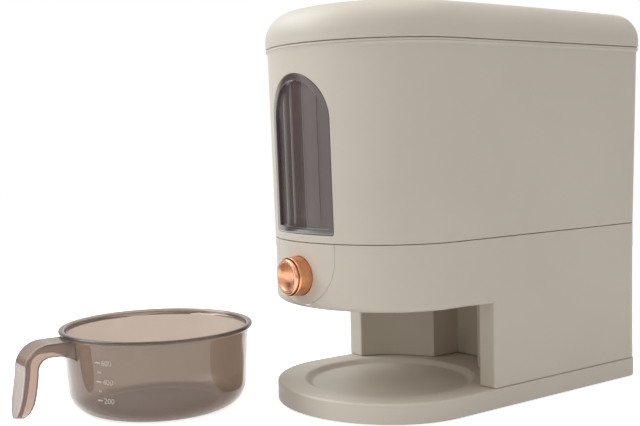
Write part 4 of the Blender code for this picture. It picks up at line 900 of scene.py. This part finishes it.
def make_base():
    """Base plate as rows from the dish's centre out to its rim, over the edge and back underneath.
    The dish is a cosine slope; between it and the outline each ray is a straight mix of the two. The
    overhang fades from the front to the sides with the cube of how squarely the edge faces ahead."""
    u = places(np.linspace(-math.pi, 0, FRONT_POINTS))
    turn_edge = on_wall(u, 0.0, 0.0)[:, :2]
    turn = np.arctan2(turn_edge[:, 1] - DISH_Y, turn_edge[:, 0])

    def circle(radius, height):
        return np.stack([radius * np.cos(turn), DISH_Y + radius * np.sin(turn), height + 0 * turn], -1)

    ahead = np.clip(-outline(u)[3], 0, 1)
    fade = (BASE_OVERHANG_SIDE - BASE_OVERHANG) * (1 - ahead ** 3)

    def ring(offset, height):
        return on_wall(u, offset + fade, height)
    rows = []
    floor = BASE_TOP - DISH_DEPTH
    for share in DISH_FLOOR_SHARES:
        rows.append(circle(DISH_FLOOR * share, floor - DISH_SAG * (1 - share ** 2)))
    for share in np.linspace(0, 1, DISH_ROWS):
        rows.append(circle(DISH_FLOOR + (DISH_RADIUS - DISH_FLOOR) * share,
                           BASE_TOP - DISH_DEPTH * (1 + math.cos(math.pi * share)) / 2))
    rim = circle(DISH_RADIUS, BASE_TOP)
    lip = ring(BASE_OVERHANG - BASE_EDGE, BASE_TOP)
    rows += [rim * (1 - s) + lip * s for s in BASE_RIM_SHARES]
    edge = arc(BASE_OVERHANG - BASE_EDGE, BASE_TOP - BASE_EDGE, BASE_EDGE, 90, 0, BASE_EDGE_STEPS)
    rows += [ring(offset, height) for offset, height in edge]
    rows += [ring(BASE_OVERHANG, BASE_TOP - BASE_EDGE - BASE_EDGE_LAND),
             ring(BASE_OVERHANG, FOOT_GAP + BASE_UNDER_LAND)]
    under = arc(BASE_OVERHANG - BASE_UNDER_EDGE, FOOT_GAP + BASE_UNDER_EDGE, BASE_UNDER_EDGE, 0, -90,
                UNDER_EDGE_STEPS)
    rows += [ring(offset, height) for offset, height in under]
    inside, hollow = BASE_OVERHANG - BASE_WALL, BASE_TOP - BASE_SKIN
    rows += [ring(inside, FOOT_GAP), ring(inside, hollow)]
    pan = circle(DISH_RADIUS, hollow)
    rows += [(ring(inside, hollow) + pan) / 2, pan]
    rows += [circle(DISH_RADIUS, hollow - DISH_DEPTH), circle(DISH_RADIUS / 2, hollow - DISH_DEPTH),
             circle(0, hollow - DISH_DEPTH)]
    faces = grid(len(rows), len(u), False, True)[:, ::-1]
    put("base_moulding", np.stack(rows), faces, greige, "housing", "greige", ["base_plate"])


def make_lid():
    """Lid over (place, row): a rounded rim, a short upright wall, a large quarter round and a pillow.
    The pillow's rise is the product of two parabolas across and along, growing in over the round."""
    u = places(np.linspace(-math.pi, 0, FRONT_POINTS))
    offset = TANK_DRAFT + LID_OVERHANG
    low, top = LID_SEAM + PARTING / 2, LID_SEAM + LID_HEIGHT
    centre = np.array([0.0, (REAR_REACH - FRONT_REACH) / 2])
    half_x, half_y = HALF_WIDTH + offset, (REAR_REACH + FRONT_REACH) / 2 + offset

    def pillow(points, weight):
        across = 1 - (points[..., 0] / half_x) ** 2
        ahead = 1 - ((points[..., 1] - centre[1]) / half_y) ** 2
        points = points.copy()
        points[..., 2] += LID_CROWN * LID_CROWN_SHARE * weight * np.clip(across, 0, 1) * np.clip(ahead, 0, 1)
        return points

    def dome(out, height, radius, steps, edge):
        """Rows from the lower edge up over the quarter round and in to the middle."""
        rows = [on_wall(u, out + o, z) for o, z in edge]
        turn = np.linspace(0, QUARTER, steps + 1)
        for angle in turn:
            row = on_wall(u, out - radius * (1 - math.cos(angle)), height - radius * (1 - math.sin(angle)))
            rows.append(pillow(row, math.sin(angle) ** 2))
        last = on_wall(u, out - radius, height)
        for share in np.linspace(1, 0, LID_RINGS)[1:]:
            row = last.copy()
            row[:, :2] = centre + (last[:, :2] - centre) * share
            rows.append(pillow(row, 1))
        return rows
    lip = arc(-LID_LIP, low + LID_LIP, LID_LIP, -90, 0, LID_LIP_STEPS)
    outside = dome(offset, top, LID_EDGE, LID_EDGE_STEPS, lip)
    inside = dome(offset - LID_WALL, top - LID_WALL, LID_EDGE - LID_WALL, LID_INSIDE_STEPS, [(0, low)])
    rows = inside[::-1] + outside
    faces = grid(len(rows), len(u), False, True)
    put("lid_dome", np.stack(rows), faces, greige, "lid", "greige", ["lid_shell"])


def nose_face(x, z, offset):
    """Point on the round front wall at x and z, pushed out by the offset from the tank's outer face."""
    shift = offset + tank_draft(z)
    share = x / (HALF_WIDTH + shift)
    return np.stack([x, -(FRONT_REACH + shift) * np.sqrt(1 - share ** 2), z], -1)


def make_window():
    """Arched window: a frame ring just below the wall's face and, behind it, a slab with upright flutes.
    A flute is a flat trough between two ridges, each a narrow bell curve across x; the troughs run out
    towards the sill and the head."""
    gap = WINDOW_GAP

    def line(inset):
        corner = WINDOW_CORNER - inset / 3
        return arch(NOSE_HALF - inset, WINDOW_SPRING, WINDOW_BOTTOM + inset, corner, FRAME_POINTS)
    outer, inner = line(gap), line(gap + WINDOW_FRAME)
    section = soften([(share, -depth) for share, depth in FRAME_SECTION], 1)
    rows = [nose_face(*(outer * (1 - share) + inner * share).T, offset) for share, offset in section]
    ring = (np.stack(rows).reshape(-1, 3), grid(len(rows), FRAME_POINTS, True, True))

    half = NOSE_HALF - gap
    x = np.linspace(-half, half, PANE_COLUMNS)
    rise = np.linspace(0, 1, PANE_ROWS)[:, None]
    head = WINDOW_SPRING + np.sqrt(np.maximum(half ** 2 - x ** 2, 0))
    over = np.clip(np.abs(x) - (half - WINDOW_CORNER), 0, WINDOW_CORNER)
    sill = WINDOW_BOTTOM + gap + WINDOW_CORNER - np.sqrt(WINDOW_CORNER ** 2 - over ** 2)
    z = sill + (head - sill) * rise
    x = x + 0 * z
    clear = NOSE_HALF - gap - WINDOW_FRAME
    beside = np.abs(x % FLUTE_PITCH - FLUTE_PITCH / 2)
    wave = 1 - np.exp(-(beside / FLUTE_RIDGE) ** 2)
    inside = np.clip((clear - np.abs(x)) / FLUTE_SIDE_FADE, 0, 1)
    head_clear = WINDOW_SPRING + np.sqrt(np.maximum(clear ** 2 - x ** 2, 0))
    to_end = np.minimum(head_clear - z, z - (WINDOW_BOTTOM + gap + WINDOW_FRAME))
    fade = np.clip(to_end / FLUTE_END_FADE, 0, 1)
    depth = PANE_RECESS + FLUTE_DEPTH * wave * inside * np.sin(fade * QUARTER)
    front = nose_face(x.ravel(), z.ravel(), -depth.ravel())
    back = nose_face(x.ravel(), z.ravel(), -WINDOW_BACK)
    slab = closed_wall(front, back, grid(*x.shape))
    put("window_pane", *islands(ring, slab), window_smoke, "housing", "smoke", ["window"])


def along_y(points):
    """Stand a body of revolution on its side, so that its axis is the button's."""
    x, y, z = np.moveaxis(points, -1, 0)
    return np.stack([x, z, BUTTON_Z + y], -1)


def make_button():
    """Barrel and cap: two profiles turned about the button's axis. The cap's face is a
    dish with a nearly flat middle, in a round rim."""
    middle = BARREL_RADIUS - BARREL_EDGE
    start = -math.degrees(math.acos((BARREL_BORE + BARREL_EDGE_STEP - middle) / BARREL_EDGE))
    edge = arc(middle, BARREL_FRONT + BARREL_EDGE, BARREL_EDGE, start, 0, BARREL_EDGE_STEPS)
    barrel = [(BARREL_BORE, BARREL_REAR - BARREL_END_WALL), (BARREL_BORE, edge[0, 1] + BARREL_EDGE_LAND),
              (BARREL_BORE, edge[0, 1] + BARREL_EDGE_STEP), *edge,
              (BARREL_RADIUS, edge[-1, 1] + BARREL_EDGE_LAND), (BARREL_RADIUS, BARREL_REAR),
              (STEM_HOLE, BARREL_REAR), (STEM_HOLE, BARREL_REAR - BARREL_END_WALL)]
    points, _ = turned(barrel, BUTTON_STEPS)
    faces = grid(len(barrel), BUTTON_STEPS, True, True)[:, ::-1]
    put("button_sleeve", along_y(points), faces, satin_gold, "housing", "copper", ["button_barrel"])

    crest = CAP_RADIUS - CAP_ROUND
    share = np.linspace(0, 1, CAP_DISH_POINTS)
    dish = np.stack([crest * CAP_DISH_SHARE * share, CAP_DISH * (1 - share ** CAP_DISH_POWER)], -1)
    rim = arc(crest, CAP_ROUND, CAP_ROUND, CAP_ROUND_START, 0, CAP_ROUND_STEPS)
    face = np.concatenate([dish, rim])
    face[:, 1] += CAP_FRONT
    back = [(CAP_RADIUS, CAP_FRONT + CAP_ROUND_LAND), (CAP_RADIUS, CAP_BACK), (STEM_HOLE, CAP_BACK),
            (STEM_HOLE, CAP_BACK - STEM_SOCKET), (0, CAP_BACK - STEM_SOCKET)]
    points, faces = turned(np.concatenate([face, back]), BUTTON_STEPS)
    put("button_face", along_y(points), faces[:, ::-1], rose_gold, "button", "copper", ["button_cap"])


def make_spring():
    """Return spring: a round wire carried along a screw line about the button's axis."""
    start, end = CAP_BACK + CLEARANCE + SPRING_WIRE, SPRING_END - SPRING_WIRE
    share = np.linspace(0, 1, SPRING_TURNS * SPRING_STEPS + 1)[:, None]
    turn = share * SPRING_TURNS * 2 * math.pi
    around = np.arange(WIRE_STEPS) * 2 * math.pi / WIRE_STEPS
    radius = SPRING_RADIUS + SPRING_WIRE * np.cos(around)
    points = np.stack([radius * np.cos(turn), start + (end - start) * share + SPRING_WIRE * np.sin(around),
                       BUTTON_Z + radius * np.sin(turn)], -1)
    coil = put("spring_coil", points, capped(*points.shape[:2]), steel, "housing", "steel",
               ["return_spring"])
    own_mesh(coil)


def bowl_line():
    """Half section of the bowl, from the middle underneath over the rolled lip to the inner floor."""
    foot = BOWL_BODY - BOWL_TAPER - BOWL_CORNER
    hollow, ring = (foot * share for share in FOOT_RING_SHARES)
    outside = np.concatenate([[(0, FOOT_RING_HEIGHT), (hollow, FOOT_RING_HEIGHT), (ring, 0.0)],
                              arc(foot, BOWL_CORNER, BOWL_CORNER, -90, 0, BOWL_OUTER_CORNER_STEPS)])
    straight = np.linspace(0, 1, BOWL_WALL_POINTS)[1:, None]
    outside = np.concatenate([outside, outside[-1] + ((BOWL_BODY, NECK_HEIGHT) - outside[-1]) * straight])
    lip = soften([(BOWL_BODY + out, BOWL_HEIGHT - down) for out, down in LIP_LINE])
    corner = arc(foot, BOWL_CORNER, BOWL_CORNER - BOWL_WALL, 0, -90, BOWL_INNER_CORNER_STEPS)
    inside = lip[-1] + (corner[0] - lip[-1]) * straight[:-1]
    floor = [(foot / 2, BOWL_WALL), (SPRUE_RADIUS, BOWL_WALL), (SPRUE_TOP_RADIUS, BOWL_WALL + SPRUE_HEIGHT),
             (0, BOWL_WALL + SPRUE_HEIGHT)]
    return np.concatenate([outside, lip[1:], inside, corner, floor])


def handle_line():
    """Middle line of the strap's outer face in (reach, height): out, round the bend and down."""
    top = BOWL_HEIGHT - HANDLE_BELOW_RIM
    far = BOWL_BODY + HANDLE_REACH
    bend = top - HANDLE_BEND
    out = np.linspace(BOWL_BODY - HANDLE_ROOT_SINK, far - HANDLE_BEND, HANDLE_OUT_POINTS)
    out = np.stack([out, np.full(HANDLE_OUT_POINTS, top)], -1)
    turn = arc(far - HANDLE_BEND, bend, HANDLE_BEND, 90, 0, HANDLE_BEND_STEPS)
    fall = np.linspace(0, 1, HANDLE_FALL_POINTS)[1:]
    down = np.stack([far + HANDLE_SPLAY * fall ** HANDLE_SPLAY_POWER, bend - (bend - HANDLE_TIP) * fall], -1)
    return np.concatenate([out, turn[1:], down])


def make_handle():
    """Hooked strap: a rounded channel section carried along the handle's line. Its half-width follows a
    quarter ellipse over the last stretch. At the root it deepens with the square of how near the wall is,
    like a gusset, and its end follows the bowl's round and tapered wall."""
    line = handle_line()
    along = np.gradient(line, axis=0)
    along /= np.linalg.norm(along, axis=1)[:, None]
    inward = np.stack([along[:, 1], -along[:, 0]], -1)
    length = np.concatenate([[0], np.cumsum(np.linalg.norm(np.diff(line, axis=0), axis=1))])
    tip = np.clip((length[-1] - length) / HANDLE_POINT, 0, 1)
    narrow = np.maximum(np.sqrt(1 - (1 - tip) ** 2), HANDLE_BLUNT)
    half, inner = HANDLE_WIDTH / 2, HANDLE_WIDTH / 2 - HANDLE_FLANGE
    edge, inset, depth, wall = HANDLE_EDGE, HANDLE_EDGE_INSET, HANDLE_DEPTH, HANDLE_WALL
    below = depth - HANDLE_FLANGE_EDGE
    right = np.concatenate([
        soften([(half - edge, 0), (half - inset, 0), (half, inset), (half, edge)]),
        soften([(half, below), (half, depth), (inner, depth), (inner, below)]),
        soften([(inner, wall + HANDLE_INNER_EDGE), (inner, wall), (inner - HANDLE_INNER_EDGE, wall)])])
    left = right[::-1] * (-1, 1)
    section = np.concatenate([right, left])
    side = section[:, 0] * narrow[:, None]
    near = np.clip(1 - length[:, None] / HANDLE_ROOT, 0, 1)
    tip_depth = HANDLE_TIP_DEPTH_SHARE + (1 - HANDLE_TIP_DEPTH_SHARE) * narrow[:, None]
    deep = section[:, 1] * tip_depth * (1 + HANDLE_FLARE * near ** 2)
    reach = line[:, :1] + inward[:, :1] * deep
    height = line[:, 1:] + inward[:, 1:] * deep
    bend = BOWL_BODY - np.sqrt(BOWL_BODY ** 2 - side ** 2)
    taper = BOWL_BODY - wall_radius(BOWL_HEIGHT - HANDLE_BELOW_RIM - deep)
    reach = reach - (bend + np.maximum(taper, 0)) * near
    points = np.stack([reach, side, height], -1)
    return points.reshape(-1, 3), capped(len(line), len(section), inside_out=True)


def stand_bowl(points):
    """Turn the bowl's own frame so that its handle points the right way, and stand it in its place."""
    x, y, z = np.moveaxis(np.asarray(points, float), -1, 0)
    cosine, sine = math.cos(HANDLE_TURN), math.sin(HANDLE_TURN)
    return np.stack([BOWL_X + cosine * x - sine * y, BOWL_Y + sine * x + cosine * y, z], -1)


def wall_radius(height):
    """Radius of the bowl's outer wall at a height between its rounded foot and its lip."""
    return BOWL_BODY - BOWL_TAPER * (NECK_HEIGHT - height) / (NECK_HEIGHT - BOWL_CORNER)


def on_bowl(along, height, rise):
    """Points on the bowl's outer wall: metres round it from the marks' middle, height, and how far out."""
    radius = wall_radius(height)
    turn = MARKS_TURN - HANDLE_TURN + along / radius
    return stand_bowl(np.stack([(radius + rise) * np.cos(turn), (radius + rise) * np.sin(turn), height], -1))


def make_marks():
    """Raised level marks on the bowl: a short bar for each step, and plain numbers beside every other one.
    The bars are boxes bent round the wall; the numbers are text meshes bent the same way."""
    box = np.array([[x, y, z] for z in (0, 1) for y in (0, 1) for x in (0, 1)], float)
    sides = [[0, 2, 3, 1], [4, 5, 7, 6], [0, 1, 5, 4], [2, 6, 7, 3], [0, 4, 6, 2], [1, 3, 7, 5]]
    bodies = []
    for height, length in MARK_BARS:
        place = box * (length, MARK_LINE, MARK_RISE + MARK_SINK) + (-length, -MARK_LINE / 2, -MARK_SINK)
        bodies.append((on_bowl(place[:, 0] - MARK_SPACE, place[:, 1] + height, place[:, 2]), sides))
    for height, number in MARK_NUMBERS:
        text = bpy.data.curves.new("level", "FONT")
        text.body = number
        text.size = MARK_SIZE
        text.extrude = (MARK_RISE + MARK_SINK) / 2
        text.resolution_u = NUMBER_STEPS
        thing = bpy.data.objects.new("level", text)
        mesh = thing.to_mesh()
        points = np.empty(len(mesh.vertices) * 3)
        mesh.vertices.foreach_get("co", points)
        points = points.reshape(-1, 3)
        faces = [list(face.vertices) for face in mesh.polygons]
        thing.to_mesh_clear()
        bpy.data.objects.remove(thing)
        bpy.data.curves.remove(text)
        high = points[:, 1] - points[:, 1].max() / 2 + height
        bodies.append((on_bowl(points[:, 0], high, points[:, 2] + (MARK_RISE - MARK_SINK) / 2), faces))
    put("bowl_marks", *islands(*bodies), mark_smoke, "bowl", "smoke")


def make_bowl():
    """The turned bowl, and its handle in a deeper shade: its walls are thicker."""
    points, faces = turned(bowl_line(), BOWL_STEPS)
    put("measuring_bowl_moulding", stand_bowl(points), faces, bowl_smoke, "bowl", "smoke",
        ["measuring_bowl"])
    points, faces = make_handle()
    put("bowl_handle", stand_bowl(points), faces, handle_smoke, "bowl", "smoke")


make_base()
make_housing()
make_panel()
make_tank()
make_window()
make_button()
make_spring()
make_lid()
make_bowl()
make_marks()

SCREWS = tuple(f"{kind}_screw_{number}" for kind in ("base", "gate", "tank") for number in (1, 2, 3, 4))
FEET = ("foot_middle", "foot_front_left", "foot_front_right", "foot_rear_left", "foot_rear_right")
FINISHES = (
    (greige, ("base_tray",)),
    (pure_white, ("gate_tray", "gate_cover", "outlet_chute", "hopper", "lid_liner")),
    (rubber, FEET + ("gate_seal", "window_seal", "lid_seal", "stem_clip")),
    (steel, SCREWS + ("button_stem", "gate_slide")))
for material, names in FINISHES:
    for name in names:
        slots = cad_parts[name].data.materials
        slots.clear()
        slots.append(material)

# Camera: place, then azimuth, pitch and roll in radians, and a lens and sensor in millimetres
CAMERA_PLACE = (0.6075, -0.5075, 0.2025)
CAMERA_TURN, CAMERA_PITCH, CAMERA_ROLL = 0.9308, 0.0737, -0.0226
CAMERA_LENS, CAMERA_SENSOR = 58.37, 36.0
CAMERA_NEAR, CAMERA_FAR = 0.01, 50.0

# Studio
BODY_MIDDLE = (0, 0, 0.12)
COOL_LIGHT = (0.90, 0.96, 1.0)
WORLD_LIGHT = 0.50
FLOOR_REACH, FLOOR_GREY, FLOOR_GLOW = 1.0, 0.85, 0.80


def make_camera():
    """Camera where the photograph was taken from: azimuth and pitch, then a small roll."""
    turn, pitch, roll = CAMERA_TURN, CAMERA_PITCH, CAMERA_ROLL
    ahead = np.array([-math.sin(turn) * math.cos(pitch), math.cos(turn) * math.cos(pitch), -math.sin(pitch)])
    right = np.array([math.cos(turn), math.sin(turn), 0.0])
    up = np.cross(right, ahead)
    rolled = math.cos(roll) * right + math.sin(roll) * up
    upright = -math.sin(roll) * right + math.cos(roll) * up
    lens = bpy.data.cameras.new("photo_camera")
    lens.sensor_width = CAMERA_SENSOR
    lens.lens = CAMERA_LENS
    lens.clip_start, lens.clip_end = CAMERA_NEAR, CAMERA_FAR
    camera = bpy.data.objects.new("photo_camera", lens)
    place = Matrix(np.column_stack([rolled, upright, -ahead]).tolist()).to_4x4()
    place.translation = CAMERA_PLACE
    camera.matrix_world = place
    bpy.context.scene.collection.objects.link(camera)
    bpy.context.scene.camera = camera


def make_lamp(name, place, target, size, power, colour=(1.0, 1.0, 1.0)):
    """A square soft box at a place, facing a target."""
    data = bpy.data.lights.new(name, "AREA")
    data.size = size
    data.energy = power
    data.color = colour
    lamp = bpy.data.objects.new(name, data)
    back = np.array(place, float) - np.array(target, float)
    back /= np.linalg.norm(back)
    right = np.cross((0, 0, 1), back)
    right /= np.linalg.norm(right)
    up = np.cross(back, right)
    pose = Matrix(np.column_stack([right, up, back]).tolist()).to_4x4()
    pose.translation = place
    lamp.matrix_world = pose
    bpy.context.scene.collection.objects.link(lamp)
    return lamp


def mixed_shaders(tree, share, first, second):
    """Two shaders mixed by a socket's value: the first one at 0, the second at 1."""
    mix = tree.nodes.new("ShaderNodeMixShader")
    tree.links.new(share, mix.inputs["Fac"])
    tree.links.new(first.outputs[0], mix.inputs[1])
    tree.links.new(second.outputs[0], mix.inputs[2])
    return mix


def seen_as_white(tree, plain, bright):
    """Mix two shaders so that the camera, gloss and clear plastic see the bright one."""
    path = tree.nodes.new("ShaderNodeLightPath")
    seen = path.outputs["Is Camera Ray"]
    for ray in ("Is Glossy Ray", "Is Transmission Ray"):
        either = tree.nodes.new("ShaderNodeMath")
        either.operation = "MAXIMUM"
        tree.links.new(seen, either.inputs[0])
        tree.links.new(path.outputs[ray], either.inputs[1])
        seen = either.outputs[0]
    return mixed_shaders(tree, seen, plain, bright)


def dark_patch(tree, where, turn, lift, inside, outside, strength):
    """A soft dark patch in what gloss sees: a ramp on the angle from its middle, all in degrees."""
    turn, lift = math.radians(turn), math.radians(lift)
    level = math.cos(lift)
    beside = tree.nodes.new("ShaderNodeVectorMath")
    beside.operation = "DOT_PRODUCT"
    beside.inputs[1].default_value = (level * math.cos(turn), level * math.sin(turn), math.sin(lift))
    ramp = tree.nodes.new("ShaderNodeMapRange")
    ramp.inputs["From Min"].default_value = math.cos(math.radians(outside))
    ramp.inputs["From Max"].default_value = math.cos(math.radians(inside))
    ramp.inputs["To Min"].default_value = 1.0
    ramp.inputs["To Max"].default_value = strength
    tree.links.new(where.outputs["Generated"], beside.inputs[0])
    tree.links.new(beside.outputs["Value"], ramp.inputs["Value"])
    return ramp.outputs["Result"]


def gloss_level(tree):
    """Strength of the white that gloss sees: 1 all round, and less in two dark patches, one on the left
    and one in front. It is the two patches' strengths multiplied."""
    where = tree.nodes.new("ShaderNodeTexCoord")
    both = tree.nodes.new("ShaderNodeMath")
    both.operation = "MULTIPLY"
    left = dark_patch(tree, where, turn=-151, lift=-3, inside=10, outside=20, strength=0.06)
    front = dark_patch(tree, where, turn=-35, lift=8, inside=9, outside=14, strength=0.03)
    tree.links.new(left, both.inputs[0])
    tree.links.new(front, both.inputs[1])
    return both.outputs[0]


def make_surroundings():
    """White surroundings: full where the camera, gloss and clear plastic see them, dimmer as a light."""
    world = bpy.data.worlds.new("studio")
    world.use_nodes = True
    bpy.context.scene.world = world
    tree = world.node_tree
    dim = tree.nodes["Background"]
    dim.inputs["Color"].default_value = (1, 1, 1, 1)
    dim.inputs["Strength"].default_value = WORLD_LIGHT
    white = tree.nodes.new("ShaderNodeBackground")
    white.inputs["Color"].default_value = (1, 1, 1, 1)
    white.inputs["Strength"].default_value = 1.0
    mix = seen_as_white(tree, dim, white)
    glossy = tree.nodes.new("ShaderNodeBackground")
    tree.links.new(gloss_level(tree), glossy.inputs["Strength"])
    path = tree.nodes.new("ShaderNodeLightPath")
    last = mixed_shaders(tree, path.outputs["Is Glossy Ray"], mix, glossy)
    tree.links.new(last.outputs[0], tree.nodes["World Output"].inputs["Surface"])


def make_floor():
    """A pale floor that keeps a soft shadow: it scatters light and adds a glow of its own."""
    reach = FLOOR_REACH
    mesh = bpy.data.meshes.new("floor")
    corners = [(-reach, -reach, 0), (reach, -reach, 0), (reach, reach, 0), (-reach, reach, 0)]
    mesh.from_pydata(corners, [], [(0, 1, 2, 3)])
    floor = bpy.data.objects.new("floor", mesh)
    bpy.context.scene.collection.objects.link(floor)
    material = bpy.data.materials.new("studio_floor")
    material.use_nodes = True
    tree = material.node_tree
    tree.nodes.remove(tree.nodes["Principled BSDF"])
    plain = tree.nodes.new("ShaderNodeBsdfDiffuse")
    plain.inputs["Color"].default_value = grey(FLOOR_GREY)
    lit = tree.nodes.new("ShaderNodeEmission")
    lit.inputs["Strength"].default_value = FLOOR_GLOW
    both = tree.nodes.new("ShaderNodeAddShader")
    tree.links.new(plain.outputs[0], both.inputs[0])
    tree.links.new(lit.outputs[0], both.inputs[1])
    mix = seen_as_white(tree, plain, both)
    tree.links.new(mix.outputs[0], tree.nodes["Material Output"].inputs["Surface"])
    floor.data.materials.append(material)


def make_lamps():
    """Two cool soft boxes from the left, one overhead, and a small one for the bright spots."""
    make_lamp("key", place=(-0.9, -1.3, 1.1), target=BODY_MIDDLE, size=0.9, power=11.5, colour=COOL_LIGHT)
    make_lamp("side", place=(-1.2, -0.5, 1.5), target=BODY_MIDDLE, size=0.9, power=13.0, colour=COOL_LIGHT)
    make_lamp("top", place=(0.1, 0.1, 1.5), target=(0, 0.05, 0), size=1.0, power=5.3)
    sparkle = make_lamp("sparkle", place=(1.0, -1.0, 0.8), target=(0, -0.07, 0.10), size=0.30, power=1.0)
    sparkle.visible_transmission = False


make_camera()
make_surroundings()
make_floor()
make_lamps()

scene = bpy.context.scene
scene.view_settings.view_transform = "Standard"
